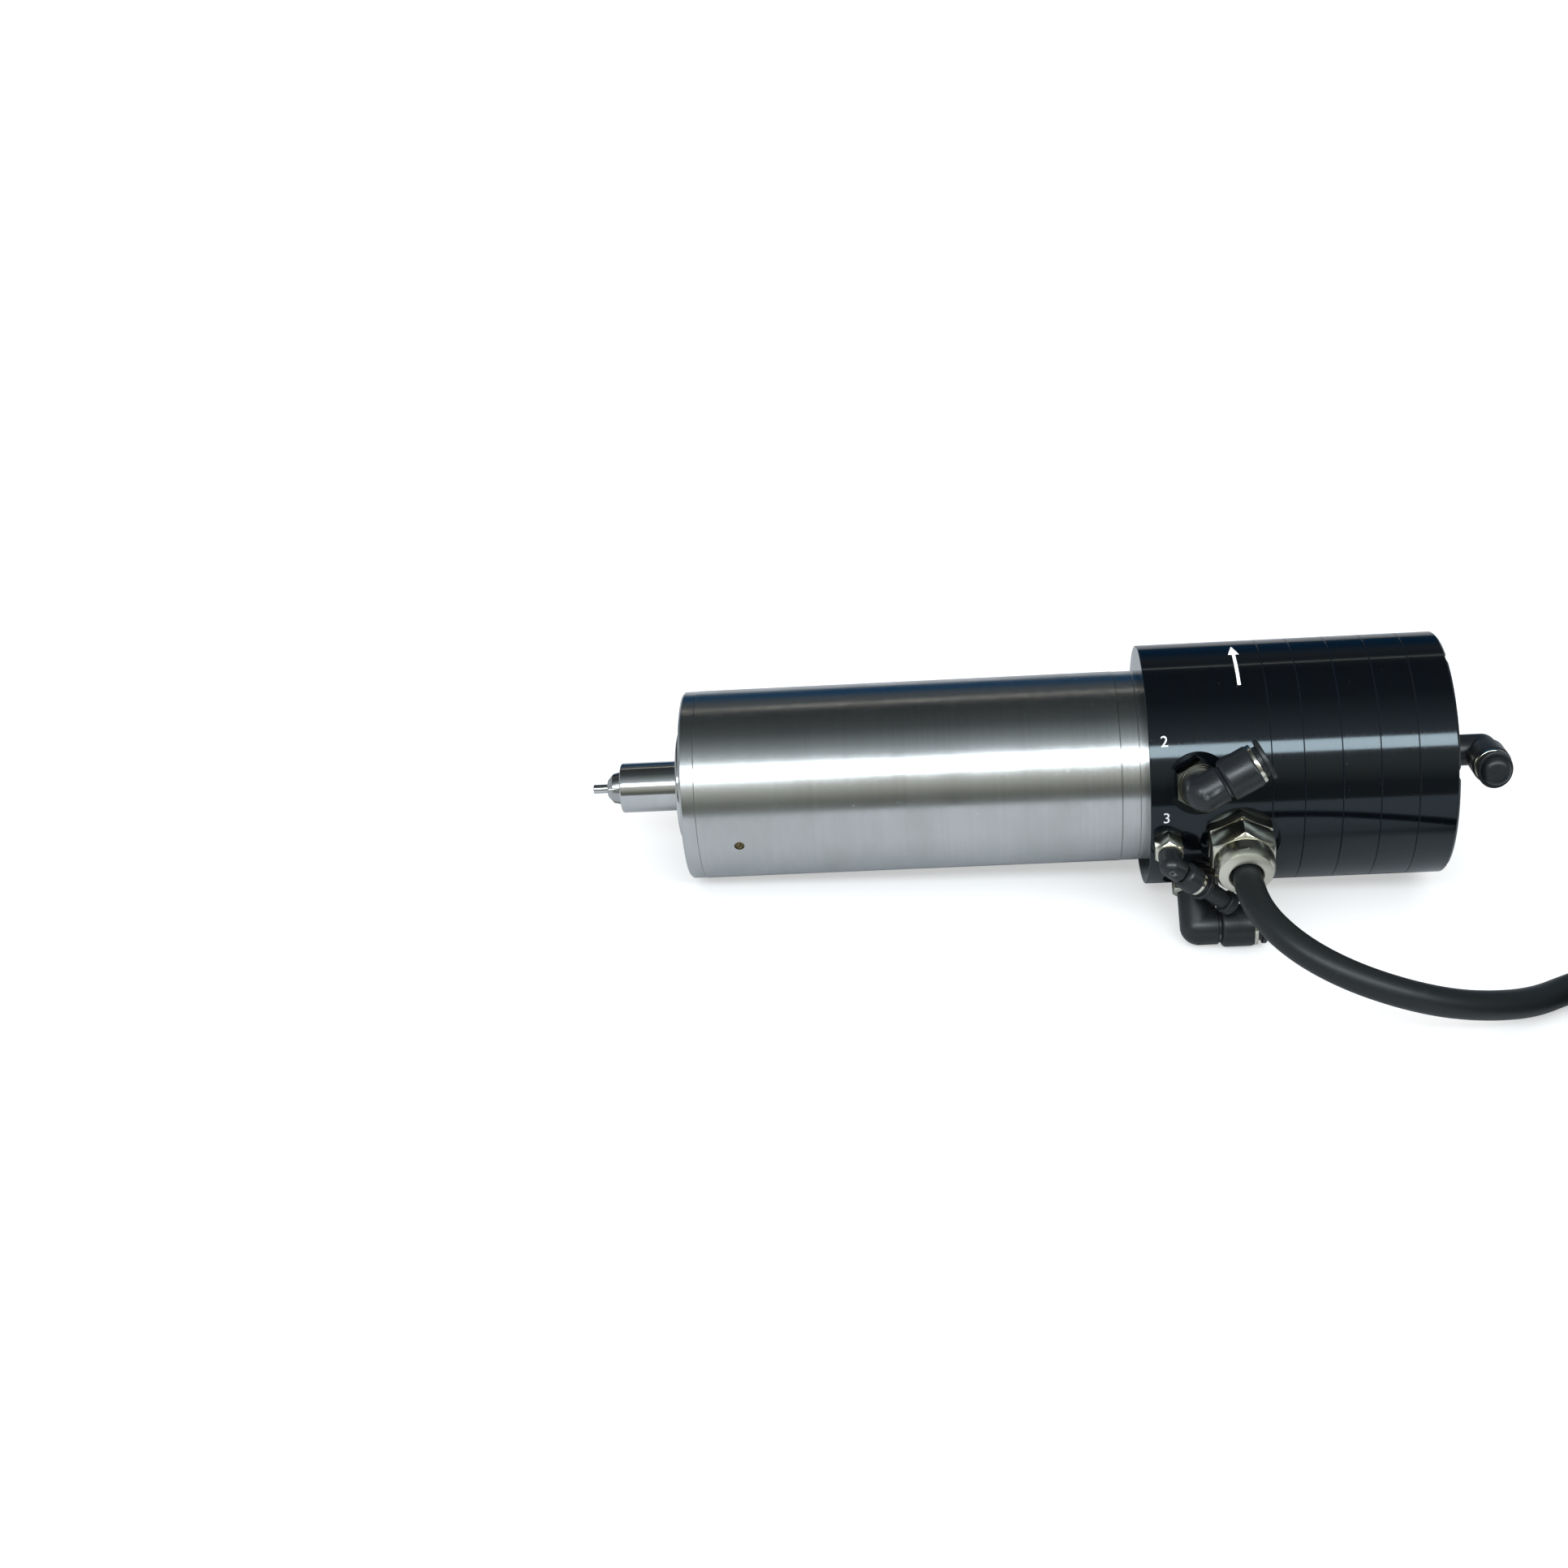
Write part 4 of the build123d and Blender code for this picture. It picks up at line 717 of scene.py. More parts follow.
class SPINDLE_OT_stage(bpy.types.Operator):
    """Make the camera, the pale floor and the soft studio lights"""
    bl_idname = "spindle.stage"
    bl_label = "Studio"

    def execute(self, context):
        studio = context.scene.spindle_studio
        context.scene.view_settings.view_transform = "Standard"
        self.camera(context, studio)
        self.floor(studio)
        self.world(context)
        for name, elevation, distance, size, share, tint in LIGHTS:
            self.light(name, elevation, distance, size, studio.strip_power * share, tint)
        self.light("Overhead", 84.0, 3.0, (5.0, 5.0), studio.soft_power, (1.0, 1.0, 1.0), glossy=False)
        return {"FINISHED"}

    @staticmethod
    def camera(context, studio):
        data = bpy.data.cameras.new("Camera")
        data.lens, data.sensor_width = studio.lens, 36.0
        data.clip_start, data.clip_end = 0.01, 20.0
        camera = bpy.data.objects.new("Camera", data)
        right, down = Vector(CAMERA_RIGHT).normalized(), Vector(CAMERA_DOWN).normalized()
        back = right.cross(-down)
        camera.matrix_world = (Matrix.Translation(CAMERA_AT)
                               @ Matrix((right, back.cross(right), back)).transposed().to_4x4())
        context.scene.collection.objects.link(camera)
        context.scene.camera = camera

    @staticmethod
    def floor(studio):
        half, front = studio.floor_width / 2, -studio.floor_front
        mesh = bpy.data.meshes.new("Floor")
        mesh.from_pydata([(-half, front, 0), (half, front, 0), (half, half, 0), (-half, half, 0)],
                         [], [(0, 1, 2, 3)])
        made, graph = material("Pale floor")
        camera_ray = graph.node("ShaderNodeLightPath")
        shader = graph.node("ShaderNodeBsdfPrincipled", {},
                            {"Base Color": graph.mix(camera_ray, FLOOR_MIRRORED, FLOOR_SEEN),
                             "Roughness": 0.9, "Specular IOR Level": 0.1})
        glow = graph.node("ShaderNodeEmission", {}, {"Color": (1.0, 1.0, 1.0), "Strength": 1.0})
        both = graph.node("ShaderNodeMixShader", {}, {0: camera_ray * 0.5, 1: shader, 2: glow})
        graph.node("ShaderNodeOutputMaterial", {}, {"Surface": both})
        mesh.materials.append(made)
        floor = bpy.data.objects.new("Floor", mesh)
        bpy.context.scene.collection.objects.link(floor)

    @staticmethod
    def world(context):
        """Pale to the camera; to everything else a room that is darker behind and overhead."""
        world = bpy.data.worlds.new("Studio room")
        world.use_nodes = True
        context.scene.world = world
        graph = Graph(world.node_tree)
        way = graph.node("ShaderNodeTexCoord", output=0)
        x, y, z = graph.parts(way)
        turn = graph.node("ShaderNodeMath", {"operation": "ARCTAN2"}, {0: z, 1: y * -1.0}) / pi
        room = graph.node("ShaderNodeValToRGB", {"stops": ROOM_TONES}, {"Fac": turn})
        ends = graph.mix(x.ramp(0.72, 0.92), room, ROOM_REAR_END)
        ends = graph.mix((x * -1.0).ramp(0.72, 0.92), ends, ROOM_NOSE_END)
        surround = graph.node("ShaderNodeBackground", {}, {"Color": ends, "Strength": 1.0})
        pale = graph.node("ShaderNodeBackground", {}, {"Color": (1.0, 1.0, 1.0), "Strength": 1.0})
        camera_ray = graph.node("ShaderNodeLightPath")
        both = graph.node("ShaderNodeMixShader", {}, {0: camera_ray, 1: surround, 2: pale})
        graph.node("ShaderNodeOutputWorld", {}, {"Surface": both})

    @staticmethod
    def light(name, elevation, distance, size, power, tint, glossy=True):
        """Area light in the plane across the spindle, at an elevation from the viewer's side."""
        data = bpy.data.lights.new(name, "AREA")
        data.shape, data.size, data.size_y = "RECTANGLE", size[0], size[1]
        data.energy, data.color = power, tint
        lamp = bpy.data.objects.new(name, data)
        way = Vector((0, -cos(radians(elevation)), sin(radians(elevation))))
        turn = way.to_track_quat("Z", "Y").to_matrix().to_4x4()
        lamp.matrix_world = Matrix.Translation(AIM + way * distance) @ turn
        lamp.visible_glossy = glossy
        bpy.context.scene.collection.objects.link(lamp)


# ---------------------------------------------------------------- lead
SHIFT = Vector((0.0322259, 0.0085507, 0.0))
ROUTE = [
    (32.8, -75.2, 32.4), (41.5, -86.1, 30.4), (53.8, -93.9, 27.8), (68.9, -97.5, 24.0),
    (84.5, -95.9, 18.6), (99.6, -90.5, 13.2), (113.9, -82.8, 8.2), (126.8, -72.6, 4.8),
    (149.0, -61.5, 4.6),
]
COIL_CENTRE = (180.0, -106.9)
COIL_ENTRY = 100.0
TURN_RADII = (53.4, 44.2, 39.6, 48.8, 44.2)
TURN_HEIGHTS = (4.6, 4.6, 12.7, 12.7, 20.8)
TAIL = ((44.2, 80.0, 20.8), (48.6, 63.0, 22.4), (55.4, 46.0, 21.4), (63.0, 29.0, 16.2),
        (69.8, 12.0, 11.4), (74.2, -3.0, 9.2), (76.0, -15.0, 9.0))   # radius, angle, height
STRAP_ANGLE = 215.0
STRAP_INNER, STRAP_OUTER, STRAP_TOP, STRAP_CORNER = 34.3, 58.7, 26.0, 5.5
LAP_AT, LAP_HALF = 46.5, 9.0                       # free end lapped on top
GLAND_X, GLAND_SPOT = 28.0, 12.6
GLAND_FLATS, GLAND_FLANGE, GLAND_NUT, GLAND_DOME = 19.4, 3.4, 7.6, 7.0
GLAND_GAP = 0.2                                    # between the flange and the dome nut
GLAND_DOME_R, GLAND_CROWN = 9.5, 3.8               # dome and the rounding of its rim
GLAND_THREAD_R, GLAND_NECK_R, GLAND_PASSAGE_R, GLAND_MOUTH_R = 7.9, 7.0, 5.4, 5.0
GLAND_SATIN = 0.7                                  # depth of the satin face round the cable


def gland_frame():
    """Frame on the gland's seat, Z outwards."""
    outer = bpy.context.scene.spindle_sizes.cylinder_radius / MM
    return SPINDLE @ radial(GLAND_X, PORT_LINE, seat_depth(outer, GLAND_SPOT))


def coil_place(radius, angle, height):
    return Vector(((COIL_CENTRE[0] + radius * cos(radians(angle))) * MM,
                   (COIL_CENTRE[1] + radius * sin(radians(angle))) * MM, height * MM)) + SHIFT


def smooth_step(t):
    t = min(max(t, 0.0), 1.0)
    return t * t * (3 - 2 * t)


def coil_turns(points_per_turn):
    """Turns wound clockwise, each stepping over to the next just before the entry angle."""
    places = []
    last = len(TURN_RADII) - 1
    turns = last + 1 + ((COIL_ENTRY - TAIL[0][1]) % 360) / 360
    count = int(turns * points_per_turn)
    for k in range(count):
        turned = turns * k / count
        layer = min(int(turned), last)
        after = min(layer + 1, last)
        part = turned - layer
        over = smooth_step((part - 0.80) / 0.20)
        climb = smooth_step((part - 0.62) / 0.20)
        radius = TURN_RADII[layer] + (TURN_RADII[after] - TURN_RADII[layer]) * over
        height = TURN_HEIGHTS[layer] + (TURN_HEIGHTS[after] - TURN_HEIGHTS[layer]) * climb
        if layer >= 2 and 0 < over < 1:
            height += 0.9
        places.append(coil_place(radius, COIL_ENTRY - 360 * turned, height))
    return places


class SPINDLE_OT_lead(bpy.types.Operator):
    """Lay the cable from the gland to its coil and out to the connector"""
    bl_idname = "spindle.lead"
    bl_label = "Cable, coil, strap and connector"

    def execute(self, context):
        sizes = context.scene.spindle_lead
        strap = self.strap(sizes)
        shell = dressed("connector_shell", "satin_nickel", "housing", "connector_metal")
        ring = dressed("connector_ring", "ring_nickel", "connector_ring", "connector_metal")
        insert = dressed("connector_insert", "contact_plastic", "housing", "connector_plastic")
        self.cable(sizes, [strap, shell, ring, insert])
        return {"FINISHED"}

    @staticmethod
    def cable(sizes, on_it):
        gland = gland_frame()
        start = [gland @ Vector((0, 0, GLAND_FLANGE + GLAND_NUT + lift)) for lift in (2, 15)]
        places = start + [Vector(point) * MM + SHIFT for point in ROUTE]
        places += coil_turns(sizes.points_per_turn) + [coil_place(*point) for point in TAIL]
        curve = bpy.data.curves.new("Cable", "CURVE")
        curve.dimensions, curve.resolution_u = "3D", 6
        curve.bevel_depth, curve.bevel_resolution = sizes.diameter / 2, 6
        curve.use_fill_caps = True
        spline = curve.splines.new("NURBS")
        spline.points.add(len(places) - 1)
        for point, place in zip(spline.points, places):
            point.co = (*place, 1.0)
        spline.order_u, spline.use_endpoint_u = 3, True
        curve.materials.append(FINISHES["jacket"])
        cable = bpy.data.objects.new("Cable", curve)
        bpy.context.scene.collection.objects.link(cable)
        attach(cable, "housing")
        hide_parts("cable", "cable_coil", "cable_tail")

    @staticmethod
    def strap(sizes):
        """Strap pulled round the section of the coil, with the free end lapped on top."""
        thick, width = sizes.strap_thickness / MM, sizes.strap_width / MM
        corner = STRAP_CORNER
        far, near = STRAP_OUTER - corner, STRAP_INNER + corner
        low, high = corner + thick, STRAP_TOP - corner
        middle = []
        for cx, cz, first in ((far, low, -90), (far, high, 0), (near, high, 90), (near, low, 180)):
            for k in range(7):
                a = radians(first + 15 * k)
                middle.append((cx + corner * cos(a), cz + corner * sin(a), cos(a), sin(a)))
        shape = bmesh.new()
        rows = []
        for x, z, nx, nz in middle:
            rows.append([shape.verts.new((x + nx * out, side, z + nz * out))
                         for out, side in ((0, -width / 2), (thick, -width / 2),
                                           (thick, width / 2), (0, width / 2))])
        for a, b in zip(rows, rows[1:] + rows[:1]):
            for k in range(4):
                n = (k + 1) % 4
                shape.faces.new((a[k], a[n], b[n], b[k]))
        band = as_mesh(shape)
        end = box(LAP_AT - LAP_HALF, LAP_AT + LAP_HALF, -width / 2, width / 2,
                  STRAP_TOP + thick * 0.4, STRAP_TOP + thick * 1.9)
        band = bevelled(combined(band, [end], "UNION"), 0.3, 40.0)
        place = (Matrix.Translation(Vector((*COIL_CENTRE, 0)) * MM + SHIFT)
                 @ Matrix.Rotation(radians(STRAP_ANGLE), 4, "Z") @ Matrix.Scale(MM, 4))
        return piece("Coil strap", band, place, "strap", "housing", "tie_strap", "coil_tie")


# ---------------------------------------------------------------- clamping body
COVER_FACE = -148.8
SLEEVE_FRONT, SLEEVE_REAR = -143.8, -8.0
SCREW_CIRCLE, SCREW_RECESS, SCREW_SIZE = 21.0, 3.2, 3.0
SLEEVE_WALL, RIM_RELIEF = 4.0, 0.1
SEAL_OUTER, SEAL_INNER, SEAL_FACE, SEAL_BACK = 18.0, 8.55, -151.3, -145.4
SET_SCREW_AT, SET_SCREW_HOLE = (-130.6, PORT_LINE), 1.65
RED_PLUG_AT, RED_PLUG_HOLE = (-62.0, 175.0), 2.0
HEAD_CLEARANCE = 0.97                              # radius of a head's pocket over the thread size


def socket_screw(size, grip):
    """Socket-head screw along Z, underside of its head at Z = 0."""
    head_r, head_h = size * 0.9, size
    body = lathe([(-grip, 0), (-grip, size / 2 - 0.3), (0.3 - grip, size / 2 - 0.05),
                  (0, size / 2 - 0.05), (0, head_r), (head_h, head_r, 0.3), (head_h, 0)], 40)
    corner = size * 0.83 / sqrt(3)
    key = lathe([(head_h * 0.45, 0), (head_h * 0.45, corner), (head_h + 1, corner),
                 (head_h + 1, 0)], 6)
    return combined(body, [key])


class SPINDLE_OT_clamp_body(bpy.types.Operator):
    """Turn the ground steel sleeve, front cover, seal ring and rear collar"""
    bl_idname = "spindle.clamp_body"
    bl_label = "Clamping body"

    def execute(self, context):
        sizes = context.scene.spindle_sizes
        outer, edge = sizes.clamp_radius / MM, sizes.sleeve_edge / MM
        bore = outer - SLEEVE_WALL
        sleeve = lathe([(SLEEVE_FRONT, bore), (SLEEVE_FRONT, outer - edge),
                        (SLEEVE_FRONT + edge, outer), (SLEEVE_REAR - edge, outer),
                        (SLEEVE_REAR, outer - edge), (SLEEVE_REAR, bore)], 192)
        holes = [moved(rod(bore - 2, outer + 1, hole, 48), on_stack(radial(*place)))
                 for place, hole in ((SET_SCREW_AT, SET_SCREW_HOLE), (RED_PLUG_AT, RED_PLUG_HOLE))]
        piece("Ground sleeve", combined(sleeve, holes), STACK, "sleeve_steel", "housing",
              "ground_steel", "main_sleeve", turned=True)
        rim = outer - RIM_RELIEF
        cover = lathe([(SLEEVE_FRONT, 14), (SLEEVE_FRONT, rim - edge),
                       (SLEEVE_FRONT - edge, rim), (COVER_FACE + 0.8, rim, 0.3),
                       (COVER_FACE, rim - 0.8, 0.3), (COVER_FACE, SEAL_OUTER + 0.05),
                       (SLEEVE_FRONT - 1.5, SEAL_OUTER + 0.05), (SLEEVE_FRONT - 1.5, 14)], 192)
        pockets = [moved(rod(-10, SCREW_RECESS + 1, SCREW_SIZE * HEAD_CLEARANCE, 40),
                         self.screw_place(sizes, k))
                   for k in range(sizes.cover_screws)]
        cover = piece("Front cover", combined(cover, pockets), STACK, "sleeve_steel", "housing",
                      "cover_steel", "front_cover", turned=True)
        paint_faces(cover.data, "cover_steel", lambda face: abs(face.normal.dot(NOSE)) > 0.9)
        screw = moved(socket_screw(SCREW_SIZE, 9.7), self.screw_place(sizes, 0))
        screws = repeated(screw, "dark_screw", sizes.cover_screws, turn=2 * pi / sizes.cover_screws)
        piece("Cover screws", screws, STACK, "dark_screw", "housing", "screw_steel",
              "front_cover_screws")
        ring = lathe([(SEAL_FACE, SEAL_INNER), (SEAL_BACK, SEAL_INNER), (SEAL_BACK, SEAL_OUTER),
                      (SEAL_FACE, SEAL_OUTER, 0.9)], 160)
        piece("Seal ring", ring, STACK, "seal_steel", "housing", "seal_steel", "front_seal_ring")
        collar = lathe([(SLEEVE_REAR, bore), (0, bore), (0, rim), (-2.0, rim),
                        (-2.2, rim - 0.22), (-2.4, rim), (SLEEVE_REAR + edge, rim),
                        (SLEEVE_REAR, rim - edge)], 192)
        piece("Rear collar", collar, STACK, "sleeve_steel", "housing", "collar_steel",
              "rear_collar_ring", turned=True)
        self.set_screw(outer)
        dressed("red_port_plug", "red_plastic", "housing", "red_plastic")
        return {"FINISHED"}

    @staticmethod
    def screw_place(sizes, index):
        """Screw frame on the cover's pitch circle, head towards the nose."""
        turn = Matrix.Rotation(2 * pi * index / sizes.cover_screws, 4, "Z")
        return (turn @ Matrix.Translation((-SCREW_CIRCLE, 0, COVER_FACE + SCREW_RECESS))
                @ Matrix.Rotation(pi, 4, "Y"))

    @staticmethod
    def set_screw(outer):
        """Slotted set screw, its face a little below the ground surface."""
        face, root, radius = outer - 0.45, outer - SLEEVE_WALL, SET_SCREW_HOLE - 0.05
        screw = lathe([(root, 0), (root, radius), (face, radius, 0.25), (face, 0)], 48)
        slot = box(-3, 3, -0.4, 0.4, face - 1.2, face + 1)
        turned = Matrix.Rotation(radians(72), 4, "Z")
        piece("Set screw", moved(combined(screw, [slot]), turned), SPINDLE @ radial(*SET_SCREW_AT),
              "brass", "housing", "set_screw_brass", "brass_set_screw")


SHAFT_TIP, TAPER_END = -171.0, -159.0
NOSE_R, JOURNAL_R, THROAT_R, ROD_BORE_R, CHAMBER_R = 8.25, 7.5, 4.08, 2.58, 5.28
COLLET_REACH, COLLET_BORE_R = 4.7, 1.58
SHANK_R, SHANK_REACH, SHANK_LENGTH = 1.5, 4.9, 34.0


class SPINDLE_OT_rotor(bpy.types.Operator):
    """Turn the shaft with its nose, the slotted collet and the tool shank"""
    bl_idname = "spindle.rotor"
    bl_label = "Shaft, collet and tool shank"

    def execute(self, context):
        slots = context.scene.spindle_sizes.collet_slots
        shaft = lathe([(SHAFT_TIP, 5.98), (SHAFT_TIP, NOSE_R, 0.6), (-141.0, NOSE_R),
                       (-141.0, JOURNAL_R), (2.0, JOURNAL_R), (2.0, CHAMBER_R), (-56.0, CHAMBER_R),
                       (-56.0, ROD_BORE_R), (-144.2, ROD_BORE_R), (-144.2, THROAT_R),
                       (TAPER_END, THROAT_R)], 128)
        piece("Shaft", shaft, STACK, "shaft_steel", "rotor", "shaft_steel", "rotor_shaft")
        face, tail_r = SHAFT_TIP - COLLET_REACH, THROAT_R - 0.08
        collet = lathe([(face, COLLET_BORE_R), (face, 2.7, 0.2), (face + 1.9, 4.9, 0.2),
                        (SHAFT_TIP, 5.5), (TAPER_END, tail_r), (face + 30, tail_r),
                        (face + 30, COLLET_BORE_R)], 96)
        cuts = [moved(box(-12, 12, -0.3, 0.3, face - 1, -155.0),
                      Matrix.Rotation(pi * k / slots, 4, "Z")) for k in range(slots)]
        piece("Collet", combined(collet, cuts), STACK, "collet_steel", "drawbar", "shaft_steel",
              "collet")
        start = face - SHANK_REACH
        end = start + SHANK_LENGTH
        pin = lathe([(start, 0), (start, SHANK_R, 0.3), (end, SHANK_R, 0.2), (end, 0)], 64)
        piece("Tool shank", pin, STACK, "shaft_steel", "tool_pin", "shaft_steel", "tool_pin")
        dressed("drawbar", "inner_steel", "drawbar", "shaft_steel")
        return {"FINISHED"}


# ---------------------------------------------------------------- release cylinder
BASE_X, STAGE_X, STAGE_LENGTH, CAP_X, REAR_X = 37.7, 47.7, 11.7, 82.8, 95.2
COOLANT_X, AIR_X = 15.0, 5.4
COOLANT_SPOT, AIR_SPOT = 10.0, 5.6
ROD_SLIDE_R, CAP_PORT_R = 5.08, 4.9
BOLT_CIRCLE, BOLT_RECESS, BOLT_LENGTH = 36.0, 3.5, 60.0


class SPINDLE_OT_release_cylinder(bpy.types.Operator):
    """Turn the black manifold, cylinder base, stage rings and rear cap, with their bolts"""
    bl_idname = "spindle.release_cylinder"
    bl_label = "Release cylinder"

    def execute(self, context):
        sizes = context.scene.spindle_sizes
        outer, edge = sizes.cylinder_radius / MM, sizes.joint_edge / MM
        self.manifold(outer, edge)
        base = self.ring(BASE_X, STAGE_X, outer, edge)
        base = combined(base, [self.spotface(GLAND_X, PORT_LINE, GLAND_SPOT, outer)])
        self.black("Cylinder base", base, outer, "cylinder_base")
        stage = self.ring(STAGE_X, STAGE_X + STAGE_LENGTH, outer, edge)
        stages = repeated(stage, "black_film", sizes.stages, step=(0, 0, STAGE_LENGTH))
        self.black("Stage rings", stages, outer, "cylinder_rings")
        cap = lathe([(CAP_X, 0), (CAP_X, outer - edge), (CAP_X + edge, outer),
                     (REAR_X - 0.8, outer, 0.3), (REAR_X, outer - 0.8, 0.3), (REAR_X, 0)], 192)
        wells = [moved(rod(0, 5, SCREW_SIZE * HEAD_CLEARANCE, 40), self.bolt_place(sizes, k))
                 for k in range(sizes.tie_bolts)]
        cap = combined(cap, wells + [rod(REAR_X - 8, REAR_X + 1, CAP_PORT_R, 48)])
        self.black("Rear cap", cap, outer, "rear_cap")
        bolt = moved(socket_screw(SCREW_SIZE, BOLT_LENGTH), self.bolt_place(sizes, 0))
        bolts = repeated(bolt, "dark_screw", sizes.tie_bolts, turn=2 * pi / sizes.tie_bolts)
        piece("Tie bolts", bolts, STACK, "dark_screw", "housing", "screw_steel", "tie_bolts")
        return {"FINISHED"}

    @staticmethod
    def black(name, mesh, outer, node):
        # The chamfers by the outer radius get the lighter edge film, a painted highlight of the joint
        # lines.
        return piece(name, mesh, STACK, "black_film", "housing", "black_anodised", node,
                     turned=True, edges=(outer, "worn_edge"))

    @staticmethod
    def ring(x0, x1, outer, edge):
        return lathe([(x0, ROD_SLIDE_R), (x0, outer - edge), (x0 + edge, outer), (x1 - edge, outer),
                      (x1, outer - edge), (x1, ROD_SLIDE_R)], 192)

    @staticmethod
    def spotface(x, elevation, spot, outer):
        """Cutter of a milled seat."""
        depth = seat_depth(outer, spot)
        return moved(rod(depth, outer + 5, spot, 96), on_stack(radial(x, elevation)))

    @staticmethod
    def bolt_place(sizes, index):
        """Bolt frame in the cap, head rearwards; the port line falls between two bolts."""
        first = PORT_LINE + 180 / sizes.tie_bolts
        at = on_stack(Matrix.Rotation(radians(90 - first), 4, "X")
                      @ Matrix.Translation((REAR_X - BOLT_RECESS, 0, BOLT_CIRCLE))
                      @ Matrix.Rotation(pi / 2, 4, "Y"))
        return Matrix.Rotation(2 * pi * index / sizes.tie_bolts, 4, "Z") @ at

    def manifold(self, outer, edge):
        spigot_r, bearing_r, drawbar_r = 26.95, 9.0, 12.5
        block = lathe([(SLEEVE_REAR, bearing_r), (4, bearing_r), (4, drawbar_r), (BASE_X, drawbar_r),
                       (BASE_X, outer - edge), (BASE_X - edge, outer), (edge, outer),
                       (0, outer - edge), (0, spigot_r), (SLEEVE_REAR, spigot_r)], 192)
        seats = ((COOLANT_X, PORT_LINE + PORT_SPREAD, COOLANT_SPOT),
                 (COOLANT_X, PORT_LINE - PORT_SPREAD, COOLANT_SPOT),
                 (AIR_X, PORT_LINE, AIR_SPOT), (GLAND_X, PORT_LINE, GLAND_SPOT))
        cuts = [self.spotface(*seat, outer) for seat in seats]
        self.black("Manifold", combined(block, cuts), outer, "manifold_block")


# ---------------------------------------------------------------- fittings
Fitting = namedtuple("Fitting", "flats hex_height stud arm elbow port seam body_end tube")
FITTINGS = {
    "coolant_out": Fitting(14.0, 6.5, 4.85, 17.8, 5.9, 6.8, 6.6, 17.2, 4.0),
    "coolant_in": Fitting(14.0, 6.5, 4.85, 17.8, 5.9, 6.8, 6.6, 17.2, 4.0),
    "seal_air": Fitting(8.6, 5.4, 2.45, 10.4, 3.6, 4.4, 4.8, 11.0, 2.0),
    "clamp_air": Fitting(12.0, 4.8, 4.85, 14.8, 5.1, 6.2, 5.8, 16.2, 3.0),
}
Plug = namedtuple("Plug", "grip head_r head")
PLUGS = {"seal_air": Plug(8.0, 3.8, 4.0), "clamp_air": Plug(0.0, 4.7, 2.4)}
# Bases given the darkened nickel: painted shade under the elbow.
SHADED_BASES = ("coolant_out",)
SEAT_PLAY, TUBE_PLAY = 1.13, 0.1                   # on the radius, over the tube's
RING_LENGTH, RELEASE_GAP, FLANGE, PLUG_GAP = 1.2, 1.4, 1.5, 0.3


def stud_frame(name):
    """Frame on the fitting's seat: Z along the stud, X along its port."""
    swivel, release = JOINTS[name + "_swivel"], JOINTS[name + "_release"]
    return axes_frame(swivel["pos_m"], swivel["axis"], -Vector(release["axis"]))


def base_frame(name):
    """Frame on the fitting's seat: Z along the stud, X along the spindle or across its end."""
    swivel = JOINTS[name + "_swivel"]
    axis = Vector(swivel["axis"])
    on_end = abs(NOSE.dot(axis)) > 0.9
    return axes_frame(swivel["pos_m"], axis, Vector((0, 1, 0)).cross(axis) if on_end else NOSE)


